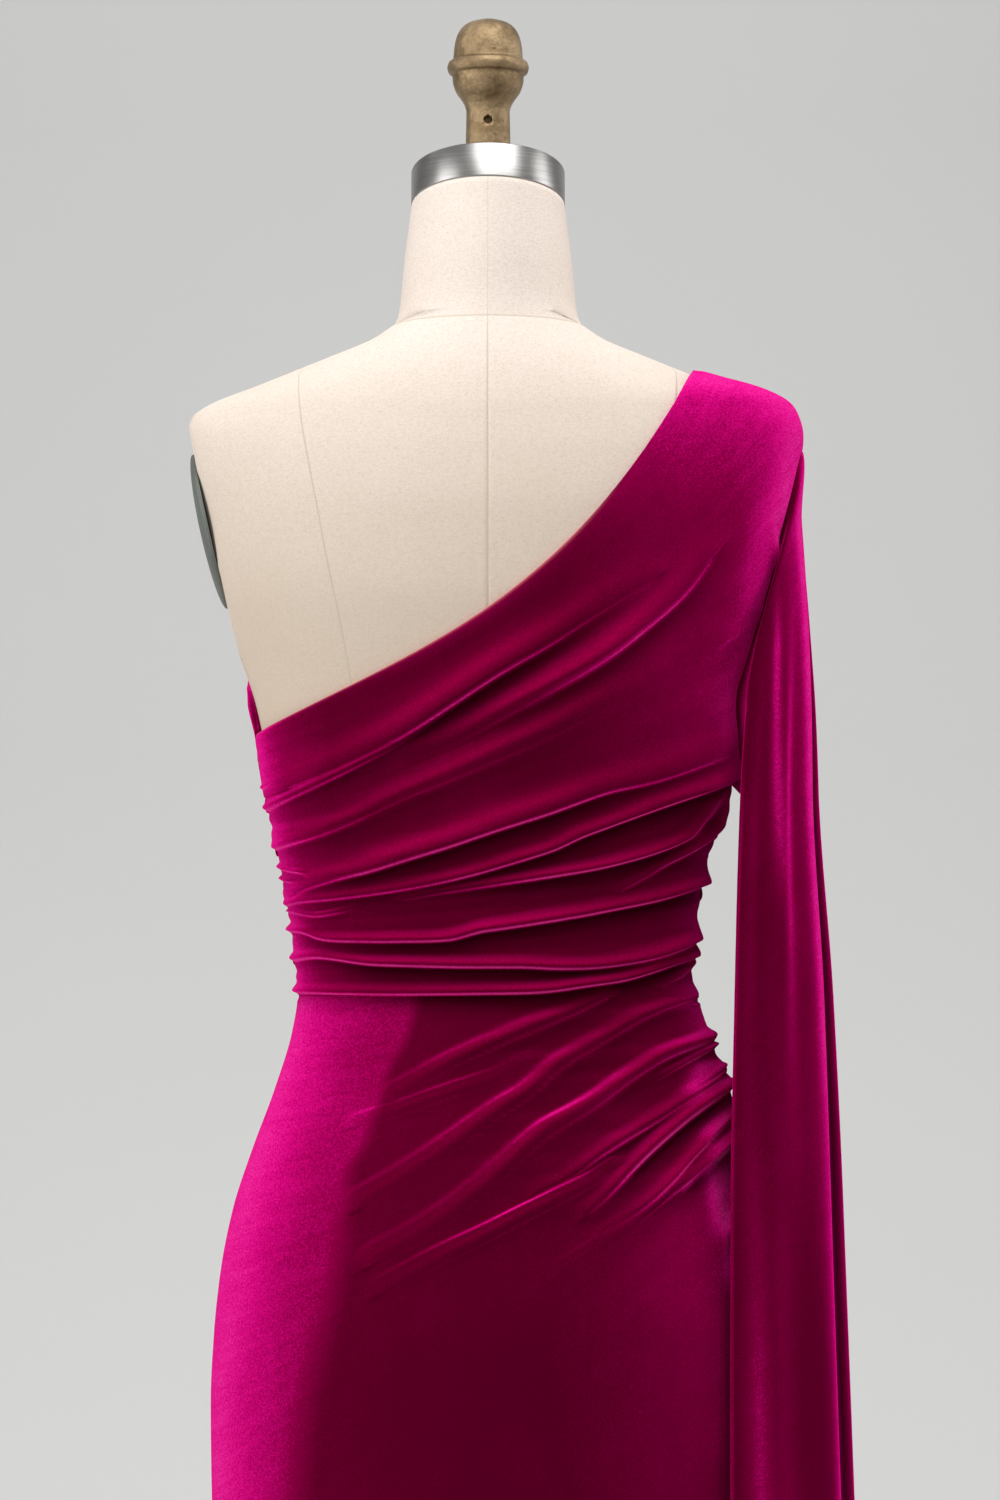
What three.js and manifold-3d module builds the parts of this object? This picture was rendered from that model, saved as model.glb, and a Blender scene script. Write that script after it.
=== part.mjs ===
// A one-shoulder velvet gown worn by a limbless dress form on a round-based stand.
// Millimetres, +Z up, origin on the floor under the middle of the pole.
// The back of the gown faces -Y and its one sleeve hangs on the +X side.
import * as THREE from "three";
import { mergeVertices } from "three/addons/utils/BufferGeometryUtils.js";
import Module from "manifold-3d";

// Driving sizes.
const CLOTH = 2; // velvet with its pile and backing
const EASE = 1.3; // between the form's cover and the cloth that lies on it
const SEAM = 0.3; // between sewn pieces
const SLEEVE_TUCK = 1.2; // from the armhole edge to the sleeve inside it
const WAIST = 1060;
const HEM = 22;
const UNDERARM = 1195;
const SHOULDER_TIP = 1408;
const SHOULDER_NECK = 1452; // where the neckline meets the shoulder seam
const NECKLINE_LEFT = { back: 1224.5, front: 1262 }; // top of the open side seam
const SLEEVE_CUFF = 440;
const FORM_BOTTOM = 770;
const SIGHT = 3200; // the fold tables are drawn as seen square-on from this far

// The dress form by height: half width at the side seams, depth behind and before them,
// and the power of its rounded outline, where 2 is an ellipse.
const FIGURE = [
  { z: 0, half: 300, back: 268, front: 262, power: 2 },
  { z: 120, half: 262, back: 230, front: 224, power: 2 },
  { z: 250, half: 218, back: 182, front: 174, power: 2 },
  { z: 400, half: 178, back: 136, front: 124, power: 2.1 },
  { z: 520, half: 165, back: 117, front: 104, power: 2.2 },
  { z: 650, half: 165, back: 114, front: 94, power: 2.2 },
  { z: 745, half: 169, back: 118, front: 90, power: 2.2 },
  { z: 808, half: 170, back: 121, front: 90, power: 2.2 },
  { z: 851, half: 168, back: 122, front: 91, power: 2.2 },
  { z: 889, half: 164, back: 119, front: 92, power: 2.2 },
  { z: 927, half: 156.5, back: 112, front: 91, power: 2.2 },
  { z: 964, half: 144.5, back: 102, front: 89, power: 2.2 },
  { z: 1002, half: 130.5, back: 88, front: 85, power: 2.2 },
  { z: 1039, half: 119.5, back: 78, front: 81, power: 2.2 },
  { z: 1060, half: 116.5, back: 75, front: 80, power: 2.2 },
  { z: 1095, half: 119.5, back: 77, front: 82, power: 2.2 },
  { z: 1133, half: 125, back: 80, front: 86, power: 2.25 },
  { z: 1170, half: 132, back: 85, front: 91, power: 2.3 },
  { z: 1208, half: 138.5, back: 91, front: 96, power: 2.35 },
  { z: 1245, half: 145.5, back: 97, front: 99, power: 2.4 },
  { z: 1287, half: 160, back: 102, front: 98, power: 2.4 },
  { z: 1314, half: 169, back: 104, front: 94, power: 2.4 },
  { z: 1358, half: 180, back: 103, front: 86, power: 2.3 },
  { z: 1398, half: 188.5, back: 97, front: 76, power: 2.2 },
  { z: 1414, half: 190.5, back: 93, front: 72, power: 2.1 },
  { z: 1426, half: 187, back: 90, front: 69, power: 2 },
  { z: 1434, half: 175, back: 87, front: 66, power: 2 },
  { z: 1444, half: 149, back: 83, front: 63, power: 2 },
  { z: 1454, half: 124, back: 78, front: 60, power: 2 },
  { z: 1464, half: 99, back: 72, front: 57, power: 2 },
  { z: 1474, half: 75, back: 65, front: 54, power: 2 },
  { z: 1484, half: 60, back: 58, front: 53, power: 2 },
];
const BUST = { x: 78, z: 1290, out: 20, formOut: 14, wide: 50, tall: 54 };

// Neck: rings that lean forward and tip their back edge up.
const NECK = [
  { z: 1495, radius: 56, forward: 2, tip: 3 },
  { z: 1522, radius: 53.5, forward: 5, tip: 8 },
  { z: 1545, radius: 50.8, forward: 8, tip: 12 },
  { z: 1562, radius: 48.8, forward: 10, tip: 14 },
];
const NECK_CAP = { radius: 49, height: 23.5, bevel: 0.8 };
const FINIAL = [
  { z: 1604.6, r: 14.2 },
  { z: 1622.6, r: 13.8 },
  { z: 1625.8, r: 14.4 },
  { z: 1630.3, r: 16.6 },
  { z: 1636.1, r: 20.6 },
  { z: 1642.6, r: 22.6 },
  { z: 1646.4, r: 22.8 },
  { z: 1648.0, r: 25.0 },
  { z: 1651.6, r: 26 },
  { z: 1654.8, r: 25 },
  { z: 1656.7, r: 22.4 },
  { z: 1664.4, r: 21.6 },
  { z: 1670.9, r: 20.2 },
  { z: 1676.0, r: 17.6 },
  { z: 1679.9, r: 13 },
  { z: 1682.5, r: 6 },
];
const FINIAL_PIN = { z: 1615.9, radius: 2.8, deep: 9 };
const ARM_PLATE = { z: 1354, x: 174.4, lean: 12.6, tall: 50, wide: 37, dome: 7, rim: 1.2, steps: 4 };
const KNIFE = 400; // a cutting block wider than the form
const POLE_RADIUS = 16;
const BASE = [
  { z: 0, r: 186 },
  { z: 4, r: 190 },
  { z: 9, r: 190 },
  { z: 13, r: 184 },
  { z: 23, r: 70 },
  { z: 33, r: 38 },
  { z: 55, r: 30 },
  { z: 58, r: 27 },
];

// How far the gathered cloth stands off at the sewn sides.
const RIGHT_BULK = [
  { z: 880, out: 0 },
  { z: 930, out: 6 },
  { z: 970, out: 13 },
  { z: 1000, out: 17 },
  { z: 1040, out: 15 },
  { z: 1060, out: 11 },
  { z: 1084, out: 7 },
  { z: 1131, out: 7 },
  { z: 1168, out: 10 },
  { z: 1195, out: 15 },
  { z: 1231, out: 14 },
  { z: 1260, out: 10 },
  { z: 1350, out: 8 },
  { z: 1408, out: 6 },
  { z: 1430, out: 6 },
  { z: 1444, out: 3 },
  { z: 1454, out: 0 },
];
const LEFT_BULK = [
  { z: 1060, out: 0 },
  { z: 1150, out: 1 },
  { z: 1208, out: 3 },
  { z: 1226, out: 2.5 },
  { z: 1260, out: 3 },
];

// Folds on the back. line is the crest as x, z pairs; height is at its start, middle and end;
// above and below are the widths of its two slopes at the start and the end.
const BODICE_BACK_FOLDS = [
  {
    line: [-124, 1193, -92, 1206, -43, 1232, -5, 1258, 40, 1288, 104, 1325],
    height: [1.2, 6, 1.5],
    above: [17, 19],
    below: [9, 10],
  },
  {
    line: [-133, 1176, -86, 1196, -55, 1210, -18, 1225, 45, 1258, 95, 1292, 115, 1309],
    height: [2, 8, 2],
    above: [9, 16],
    below: [18, 8],
  },
  {
    line: [-127, 1149, -68, 1169, -18, 1194, 45, 1228, 111, 1266],
    height: [1.6, 5, 1],
    above: [8, 18],
    below: [17, 18],
  },
  {
    line: [-118, 1124, -89, 1137, -43, 1152, 8, 1169, 58, 1187, 108, 1203, 146, 1227],
    height: [1.6, 8, 2],
    above: [15, 17],
    below: [8, 8],
  },
  {
    line: [-124, 1119, -93, 1124, -43, 1131, 8, 1144, 58, 1162, 108, 1186, 145, 1214, 156, 1231],
    height: [1.2, 7, 5],
    above: [9, 14],
    below: [8, 8],
  },
  {
    line: [-58, 1122, -5, 1131, 45, 1141, 95, 1152, 121, 1169],
    height: [2, 7, 3],
    above: [10, 10],
    below: [8, 8],
  },
  {
    line: [81, 1129, 112, 1149, 134, 1171, 150, 1198],
    height: [2, 6, 3],
    above: [10, 10],
    below: [8, 8],
  },
  {
    line: [-121, 1102, -104, 1101, -55, 1097, -5, 1103, 45, 1111, 95, 1121, 140, 1141],
    height: [1.6, 9, 6],
    above: [8, 12],
    below: [8, 8],
  },
  {
    line: [-121, 1083, -96, 1087, -55, 1082, 8, 1082, 70, 1082, 111, 1092, 133, 1102],
    height: [2, 8, 5],
    above: [8, 10],
    below: [8, 8],
  },
  {
    line: [-118, 1066, -30, 1065, 30, 1068, 70, 1072, 114, 1087, 131, 1097],
    height: [1.6, 7, 4],
    above: [9, 9],
    below: [7, 8],
  },
];
const SKIRT_BACK_FOLDS = [
  {
    line: [-55, 1009, -5, 1036, 45, 1052, 95, 1063],
    height: [1, 5, 3],
    above: [10, 10],
    below: [11, 11],
  },
  {
    line: [-77, 942, -30, 967, 20, 1002, 70, 1037, 111, 1067],
    height: [2, 8, 6],
    above: [9, 9],
    below: [14, 13],
  },
  {
    line: [-77, 908, -30, 929, 20, 967, 70, 1002, 114, 1029, 133, 1047],
    height: [2, 8, 6],
    above: [13, 13],
    below: [12, 8],
  },
  {
    line: [-55, 888, -5, 913, 45, 939, 89, 963, 126, 1006, 144, 1027],
    height: [1, 6, 6],
    above: [9, 12],
    below: [12, 11],
  },
  {
    line: [55, 926, 92, 955, 123, 988, 146, 1020],
    height: [1, 7, 6],
    above: [10, 10],
    below: [9, 9],
  },
  {
    line: [114, 939, 140, 967, 149, 983, 154, 997],
    height: [1, 6, 8],
    above: [9, 9],
    below: [8, 8],
  },
];
// Plainer folds of the same kind on the front.
const BODICE_FRONT_FOLDS = [
  {
    line: [-128, 1206, -70, 1232, -10, 1272, 50, 1318, 98, 1352],
    height: [1.2, 6, 1.5],
    above: [16, 18],
    below: [9, 10],
  },
  {
    line: [-132, 1178, -70, 1200, -10, 1232, 50, 1268, 112, 1302],
    height: [2, 8, 2],
    above: [12, 16],
    below: [12, 9],
  },
  {
    line: [-126, 1150, -60, 1166, 0, 1188, 70, 1222, 130, 1252],
    height: [1.6, 7, 2],
    above: [12, 16],
    below: [12, 9],
  },
  {
    line: [-122, 1124, -60, 1132, 0, 1146, 70, 1172, 142, 1214],
    height: [1.6, 8, 4],
    above: [11, 13],
    below: [9, 8],
  },
  {
    line: [-120, 1100, -60, 1104, 0, 1112, 70, 1132, 142, 1168],
    height: [1.6, 8, 5],
    above: [10, 11],
    below: [8, 8],
  },
  {
    line: [-118, 1080, -60, 1081, 0, 1085, 70, 1098, 136, 1128],
    height: [1.6, 7, 5],
    above: [9, 9],
    below: [8, 8],
  },
  {
    line: [-116, 1066, -30, 1064, 40, 1068, 90, 1078, 132, 1096],
    height: [1.6, 6, 4],
    above: [8, 8],
    below: [7, 8],
  },
];
const SKIRT_FRONT_FOLDS = [
  {
    line: [-40, 1016, 10, 1036, 60, 1052, 104, 1062],
    height: [1, 5, 3],
    above: [10, 10],
    below: [11, 11],
  },
  {
    line: [-66, 954, -10, 980, 50, 1016, 116, 1056],
    height: [2, 7, 6],
    above: [10, 10],
    below: [13, 12],
  },
  {
    line: [-50, 906, 10, 940, 70, 982, 134, 1036],
    height: [2, 7, 6],
    above: [12, 12],
    below: [12, 9],
  },
  {
    line: [30, 906, 80, 944, 120, 984, 148, 1016],
    height: [1, 6, 7],
    above: [10, 10],
    below: [10, 9],
  },
];

// Flutes that open below the knee.
const FLUTES = { around: 10, from: 560, out: 24 };

// The hanging sleeve by height: plan positions of its back edge, middle and front edge,
// and half the width of its hollow, cloth included.
const SLEEVE = [
  { z: 440, backX: 150, backY: -100, midX: 217, midY: 0, frontX: 206, frontY: 106, puff: 17 },
  { z: 600, backX: 149, backY: -94, midX: 214, midY: 0, frontX: 202, frontY: 98, puff: 16 },
  { z: 745, backX: 148, backY: -88, midX: 211, midY: -1, frontX: 198, frontY: 90, puff: 15 },
  { z: 930, backX: 149, backY: -78, midX: 205, midY: -3, frontX: 192, frontY: 82, puff: 14 },
  { z: 1060, backX: 152, backY: -72, midX: 199, midY: -5, frontX: 184, frontY: 72, puff: 14 },
  { z: 1195, backX: 157, backY: -66, midX: 192, midY: -5, frontX: 176, frontY: 60, puff: 13 },
  { z: 1300, backX: 166, backY: -58, midX: 193, midY: -4, frontX: 172, frontY: 52, puff: 9 },
  { z: 1412, backX: 174, backY: -50, midX: 191, midY: -2, frontX: 176, frontY: 44, puff: 4 },
];
const SLEEVE_WAVES = { around: 9, out: 3.5, start: 0.6, atHead: 0.4 };
const SLEEVE_HEAD = { reach: 5, drop: 6, crowd: 1.3 }; // how it leaves the armhole's edge
const ARMHOLE = { back: 36, front: 42 }; // half its depth at the middle
// Bodice rows rise straight for this share of their height, and curve up by this power for the rest.
const FAN = { waistStraight: 0.2, neckStraight: 0.535, bend: 3.76 };
const SIDE_FADE = 0.55; // bulk at the sides starts this far out from the middle

// Mesh counts. The armhole's steps are shared by the two bodice panels and the sleeve.
const STEPS = {
  across: 18,
  frontAcross: 16,
  sideSeam: 20,
  armhole: 12,
  shoulder: 5,
  skirtFan: 18,
  skirtAcross: 22,
  flare: 7,
  sleeveDown: 12,
  formRound: 26,
  turned: 18,
  baseRound: 32,
};

const COLOURS = {
  velvet: { color: 0x8f0a52, roughness: 0.9, metalness: 0 },
  linen: { color: 0xe6d3bd, roughness: 0.95, metalness: 0 },
  steel: { color: 0xb9babd, roughness: 0.35, metalness: 1 },
  bronze: { color: 0x8a6a3c, roughness: 0.6, metalness: 0.8 },
  plate: { color: 0x6d7168, roughness: 0.7, metalness: 0.3 },
  iron: { color: 0x26262a, roughness: 0.5, metalness: 0.7 },
};

const clamp = (value, low, high) => Math.min(high, Math.max(low, value));
const mix = (a, b, t) => a + (b - a) * t;
const smooth = (t) => {
  const s = clamp(t, 0, 1);
  return s * s * (3 - 2 * s);
};

// A smooth curve through a table's column that never overshoots its rows.
function tableCurve(rows, key, place = "z") {
  const xs = rows.map((row) => row[place]);
  const ys = rows.map((row) => row[key]);
  const rise = xs.slice(1).map((x, i) => (ys[i + 1] - ys[i]) / (x - xs[i]));
  const slopes = xs.map((_, i) => {
    if (i === 0 || i === xs.length - 1) return rise[Math.min(i, rise.length - 1)];
    const [a, b] = [rise[i - 1], rise[i]];
    return a * b <= 0 ? 0 : (2 * a * b) / (a + b);
  });
  return (x) => {
    if (x <= xs[0]) return ys[0];
    if (x >= xs.at(-1)) return ys.at(-1);
    const i = xs.findIndex((_, k) => x < xs[k + 1]);
    const span = xs[i + 1] - xs[i];
    const t = (x - xs[i]) / span;
    const t2 = t * t;
    const t3 = t2 * t;
    return (
      ys[i] * (2 * t3 - 3 * t2 + 1) +
      slopes[i] * span * (t3 - 2 * t2 + t) +
      ys[i + 1] * (3 * t2 - 2 * t3) +
      slopes[i + 1] * span * (t3 - t2)
    );
  };
}

const figure = {
  half: tableCurve(FIGURE, "half"),
  back: tableCurve(FIGURE, "back"),
  front: tableCurve(FIGURE, "front"),
  power: tableCurve(FIGURE, "power"),
};
const rightBulk = tableCurve(RIGHT_BULK, "out");
const leftBulk = tableCurve(LEFT_BULK, "out");

// 1 at a point inside the figure's outline grows to 0 on it; side is -1 behind and 1 in front.
function outlineLevel(side, x, y, z) {
  const depth = side < 0 ? figure.back(z) : figure.front(z);
  const power = figure.power(z);
  return (Math.abs(x) / figure.half(z)) ** power + (Math.abs(y) / depth) ** power - 1;
}

// The figure's surface at x and z, and its outward direction there.
function figurePoint(side, x, z) {
  const half = figure.half(z);
  const power = figure.power(z);
  const depth = side < 0 ? figure.back(z) : figure.front(z);
  const across = clamp(Math.abs(x) / half, 0, 1);
  const y = side * depth * (1 - across ** power) ** (1 / power);
  const step = 0.5;
  const normal = new THREE.Vector3(
    (Math.sign(x) * power * across ** (power - 1)) / half,
    (side * power * (Math.abs(y) / depth) ** (power - 1)) / depth,
    (outlineLevel(side, x, y, z + step) - outlineLevel(side, x, y, z - step)) / (2 * step),
  ).normalize();
  return { point: new THREE.Vector3(x, y, z), normal };
}

// The front's two soft bust mounds.
function bustLift(side, x, z, out = BUST.out) {
  if (side < 0) return 0;
  const up = (z - BUST.z) / BUST.tall;
  return [-1, 1].reduce((sum, hand) => {
    const across = (x - hand * BUST.x) / BUST.wide;
    return sum + out * Math.exp(-across * across - up * up);
  }, 0);
}

// How high one fold stands at a place on the plane that the fold tables are drawn on.
function foldHeight(fold, x, z) {
  const { line } = fold;
  const count = line.length / 2 - 1;
  let nearest = { square: Infinity };
  for (let i = 0; i < count; i++) {
    const [ax, az, bx, bz] = line.slice(2 * i, 2 * i + 4);
    const [dx, dz] = [bx - ax, bz - az];
    const t = clamp(((x - ax) * dx + (z - az) * dz) / (dx * dx + dz * dz), 0, 1);
    const [gx, gz] = [x - ax - t * dx, z - az - t * dz];
    const square = gx * gx + gz * gz;
    if (square < nearest.square) nearest = { square, along: (i + t) / count, up: gz * dx - gx * dz > 0 };
  }
  const { along, up } = nearest;
  const width = up ? mix(...fold.above, along) : mix(...fold.below, along);
  const off = Math.sqrt(nearest.square) / width;
  if (off >= 1) return 0;
  const [start, middle, end] = fold.height;
  const rising = mix(start, middle, smooth(2 * along));
  const height = along < 0.5 ? rising : mix(middle, end, smooth(2 * along - 1));
  return height * (1 - smooth(off));
}

function foldsHeight(folds, { x, y, z }) {
  const scale = SIGHT / (SIGHT - Math.abs(y));
  const [px, pz] = [x * scale, WAIST + (z - WAIST) * scale];
  return Math.max(0, ...folds.map((fold) => foldHeight(fold, px, pz)));
}

// Bulk at the two sewn sides, fading towards the middle of the panel.
function sideLift(x, z) {
  const across = Math.abs(x) / figure.half(z);
  const fade = smooth((across - SIDE_FADE) / (1 - SIDE_FADE));
  return fade * (x > 0 ? rightBulk(z) : leftBulk(z));
}

// Inner and outer points of the cloth at x, z on one side of the body.
function clothPoints(side, x, z, folds, extra = 0) {
  const { point, normal } = figurePoint(side, x, z);
  const lift = bustLift(side, x, z) + sideLift(x, z) + foldsHeight(folds, point) + extra;
  const seamShift = new THREE.Vector3(0, (side * SEAM) / 2, 0);
  const at = (out) => point.clone().addScaledVector(normal, out).add(seamShift);
  return { inner: at(lift + EASE), outer: at(lift + EASE + CLOTH) };
}

// A closed wall between two grids of points. Rows run across and closed grids join their ends.
function wallGeometry(rows, closed = false) {
  const [high, wide] = [rows.length, rows[0].length];
  const corners = rows.flatMap((row) => row.flatMap(({ inner, outer }) => [inner, outer]));
  const at = (r, c, face) => 2 * (r * wide + (c % wide)) + face;
  const faces = [];
  const quad = (a, b, c, d) => faces.push(a, b, c, a, c, d);
  const columns = closed ? wide : wide - 1;
  for (let r = 0; r < high - 1; r++)
    for (let c = 0; c < columns; c++) {
      quad(at(r, c, 1), at(r, c + 1, 1), at(r + 1, c + 1, 1), at(r + 1, c, 1));
      quad(at(r, c, 0), at(r + 1, c, 0), at(r + 1, c + 1, 0), at(r, c + 1, 0));
    }
  for (let c = 0; c < columns; c++) {
    quad(at(0, c, 0), at(0, c + 1, 0), at(0, c + 1, 1), at(0, c, 1));
    quad(at(high - 1, c, 1), at(high - 1, c + 1, 1), at(high - 1, c + 1, 0), at(high - 1, c, 0));
  }
  if (!closed)
    for (let r = 0; r < high - 1; r++) {
      quad(at(r, 0, 1), at(r + 1, 0, 1), at(r + 1, 0, 0), at(r, 0, 0));
      quad(at(r, wide - 1, 0), at(r + 1, wide - 1, 0), at(r + 1, wide - 1, 1), at(r, wide - 1, 1));
    }
  return solidGeometry(corners, faces);
}

// Points and triangles as a geometry that faces out.
function solidGeometry(corners, faces) {
  const geometry = new THREE.BufferGeometry().setFromPoints(corners);
  const volume = faces.reduce((sum, _, i) => {
    if (i % 3) return sum;
    const [a, b, c] = [corners[faces[i]], corners[faces[i + 1]], corners[faces[i + 2]]];
    return sum + a.dot(b.clone().cross(c));
  }, 0);
  geometry.setIndex(volume > 0 ? faces : faces.toReversed());
  geometry.computeVertexNormals();
  return geometry;
}

const middleOf = (points) =>
  points.reduce((sum, point) => sum.add(point), new THREE.Vector3()).divideScalar(points.length);
const steps = (count) => Array.from({ length: count + 1 }, (_, i) => i / count);

// The armhole's edge on one bodice panel; turn runs from 0 at the shoulder to 1 at the underarm.
function armholeEdge(side, turn) {
  const middle = (UNDERARM + SHOULDER_TIP) / 2;
  const z = middle + ((SHOULDER_TIP - UNDERARM) / 2) * Math.cos(Math.PI * turn);
  const reach = (side < 0 ? ARMHOLE.back : ARMHOLE.front) * Math.sin(Math.PI * turn);
  const depth = side < 0 ? figure.back(z) : figure.front(z);
  const power = figure.power(z);
  return { z, x: figure.half(z) * (1 - (reach / depth) ** power) ** (1 / power) };
}

// The right edge of a bodice panel from the waist up: side seam, armhole, then shoulder seam.
function rightEdge(side) {
  const seam = steps(STEPS.sideSeam).map((t) => {
    const z = mix(WAIST + SEAM / 2, UNDERARM, t);
    return { z, x: figure.half(z) };
  });
  const armhole = steps(STEPS.armhole)
    .slice(1)
    .map((t) => armholeEdge(side, 1 - t));
  const shoulder = steps(STEPS.shoulder)
    .slice(1)
    .map((t) => {
      const z = mix(SHOULDER_TIP, SHOULDER_NECK, t ** 0.7);
      return { z, x: figure.half(z) };
    });
  return [...seam, ...armhole, ...shoulder];
}

// A bodice panel: rows fan from the left side seam to the right edge, as its pleats do.
function bodicePanel(side, folds, across) {
  const edge = rightEdge(side);
  const top = side < 0 ? NECKLINE_LEFT.back : NECKLINE_LEFT.front;
  const rows = edge.map((end, r) => {
    const t = r / (edge.length - 1);
    const startZ = mix(WAIST + SEAM / 2, top, t);
    const startX = -figure.half(startZ);
    const straight = mix(FAN.waistStraight, FAN.neckStraight, t);
    return steps(across).map((u) => {
      const s = (1 - Math.cos(Math.PI * u)) / 2;
      const z = mix(startZ, end.z, straight * s + (1 - straight) * s ** FAN.bend);
      const x = clamp(mix(startX, end.x, s), -figure.half(z), figure.half(z));
      return clothPoints(side, x, z, folds);
    });
  });
  return wallGeometry(rows);
}

// Heights of the skirt's rows at its left and right seams. They fan from the right hip as its
// folds do, then level out above the flare.
const SKIRT_FAN = { left: 720, right: 975 };
const SKIRT_LEVELLING = [
  { left: 700, right: 938 },
  { left: 680, right: 900 },
  { left: 655, right: 855 },
  { left: 625, right: 790 },
  { left: 590, right: 680 },
  { left: FLUTES.from, right: FLUTES.from },
];
const SKIRT_ROWS = [
  ...steps(STEPS.skirtFan).map((t) => ({
    left: mix(WAIST - SEAM / 2, SKIRT_FAN.left, t),
    right: mix(WAIST - SEAM / 2, SKIRT_FAN.right, t),
  })),
  ...SKIRT_LEVELLING,
  ...steps(STEPS.flare).slice(1).map((t) => {
    const z = mix(FLUTES.from, HEM, t);
    return { left: z, right: z };
  }),
];

function skirtPanel(side, folds) {
  const rows = SKIRT_ROWS.map(({ left, right }) =>
    steps(STEPS.skirtAcross).map((u) => {
      const turn = Math.PI * u;
      const z = mix(left, right, (1 - Math.cos(turn)) / 2);
      const cos = Math.cos(turn);
      const x = -figure.half(z) * Math.sign(cos) * Math.abs(cos) ** (2 / figure.power(z));
      const open = smooth((FLUTES.from - z) / (FLUTES.from - HEM));
      const flute = open * FLUTES.out * (0.5 + 0.5 * Math.cos(FLUTES.around * turn));
      return clothPoints(side, x, z, folds, flute);
    }),
  );
  return wallGeometry(rows);
}

const sleeveColumn = Object.fromEntries(
  Object.keys(SLEEVE[0]).map((key) => [key, tableCurve(SLEEVE, key)]),
);

// A place on the hanging sleeve's section; turn 0 is its outside, 0.5 the side next to the body.
function sleeveSection(turn, z, inset) {
  const angle = 2 * Math.PI * turn;
  const s = -Math.sin(angle);
  const at = (name) => sleeveColumn[name](z);
  const weigh = (b, m, f, key) => at("back" + key) * b + at("mid" + key) * m + at("front" + key) * f;
  const [x, y] = ["X", "Y"].map((key) => weigh((s * s - s) / 2, 1 - s * s, (s * s + s) / 2, key));
  const [dx, dy] = ["X", "Y"].map((key) => weigh(s - 0.5, -2 * s, s + 0.5, key));
  const along = new THREE.Vector3(dx, dy, 0).normalize();
  const out = new THREE.Vector3(along.y, -along.x, 0);
  const open = smooth((UNDERARM - z) / (UNDERARM - SLEEVE_CUFF));
  const wave = SLEEVE_WAVES.out * mix(SLEEVE_WAVES.atHead, 1, open);
  const ripple = wave * Math.sin(SLEEVE_WAVES.around * angle + SLEEVE_WAVES.start);
  const puff = at("puff") + ripple - inset;
  return new THREE.Vector3(x, y, z)
    .addScaledVector(out, puff * Math.cos(angle))
    .addScaledVector(along, inset * Math.sin(angle));
}

// The sleeve: its first ring lies just inside the armhole's edge, and the rest hangs.
function sleeve() {
  const half = STEPS.armhole;
  const columns = Array.from({ length: 2 * half }, (_, i) => {
    const side = i <= half ? -1 : 1;
    const turn = i <= half ? i / half : 2 - i / half;
    const edge = armholeEdge(side, turn);
    const { point, normal } = figurePoint(side, edge.x, edge.z);
    const lift = bustLift(side, edge.x, edge.z) + sideLift(edge.x, edge.z) + EASE + CLOTH / 2;
    const rim = point.clone().addScaledVector(normal, lift);
    return { rim, normal, turn: i / (2 * half) };
  });
  const centre = middleOf(columns.map(({ rim }) => rim));
  const head = [0, SLEEVE_HEAD.reach].map((reach) =>
    columns.map(({ rim, normal }) => {
      const toCentre = centre.clone().sub(rim);
      const inward = toCentre.clone().addScaledVector(normal, -toCentre.dot(normal)).normalize();
      const at = (gap) => rim.clone().addScaledVector(inward, gap).add(new THREE.Vector3(reach, 0, 0));
      return { outer: at(SLEEVE_TUCK), inner: at(SLEEVE_TUCK + CLOTH) };
    }),
  );
  const hanging = steps(STEPS.sleeveDown).slice(1).map((v) =>
    columns.map(({ rim, turn }) => {
      const z = mix(rim.z - SLEEVE_HEAD.drop, SLEEVE_CUFF, v ** SLEEVE_HEAD.crowd);
      return { outer: sleeveSection(turn, z, 0), inner: sleeveSection(turn, z, CLOTH) };
    }),
  );
  return wallGeometry([...head, ...hanging], true);
}

// A closed body through rings of points, with a flat fan at each end.
function loftGeometry(rings) {
  const wide = rings[0].length;
  const corners = rings.flat();
  const faces = [];
  for (let r = 0; r < rings.length - 1; r++)
    for (let c = 0; c < wide; c++) {
      const [a, b] = [r * wide + c, r * wide + ((c + 1) % wide)];
      faces.push(a, b, b + wide, a, b + wide, a + wide);
    }
  for (const [row, flip] of [[0, true], [rings.length - 1, false]]) {
    const middle = corners.length;
    corners.push(middleOf(rings[row]));
    for (let c = 0; c < wide; c++) {
      const [a, b] = [row * wide + c, row * wide + ((c + 1) % wide)];
      faces.push(middle, ...(flip ? [b, a] : [a, b]));
    }
  }
  return solidGeometry(corners, faces);
}

// A ring of the neck or its cap, tipped so that its back edge is higher.
function tippedRing({ z, radius, forward, tip }) {
  return Array.from({ length: STEPS.formRound }, (_, i) => {
    const angle = (2 * Math.PI * i) / STEPS.formRound;
    const [x, y] = [-radius * Math.cos(angle), -radius * Math.sin(angle)];
    const flat = new THREE.Vector3(x, y, 0).applyEuler(new THREE.Euler((-tip * Math.PI) / 180, 0, 0));
    return flat.add(new THREE.Vector3(0, forward, z));
  });
}

function formRing(z) {
  return Array.from({ length: STEPS.formRound }, (_, i) => {
    const angle = (2 * Math.PI * i) / STEPS.formRound;
    const side = Math.sin(angle) >= 0 ? -1 : 1;
    const cos = Math.cos(angle);
    const x = -figure.half(z) * Math.sign(cos) * Math.abs(cos) ** (2 / figure.power(z));
    const { point, normal } = figurePoint(side, x, z);
    return point.addScaledVector(normal, bustLift(side, x, z, BUST.formOut));
  });
}

const wasm = await Module();
wasm.setup();

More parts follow.
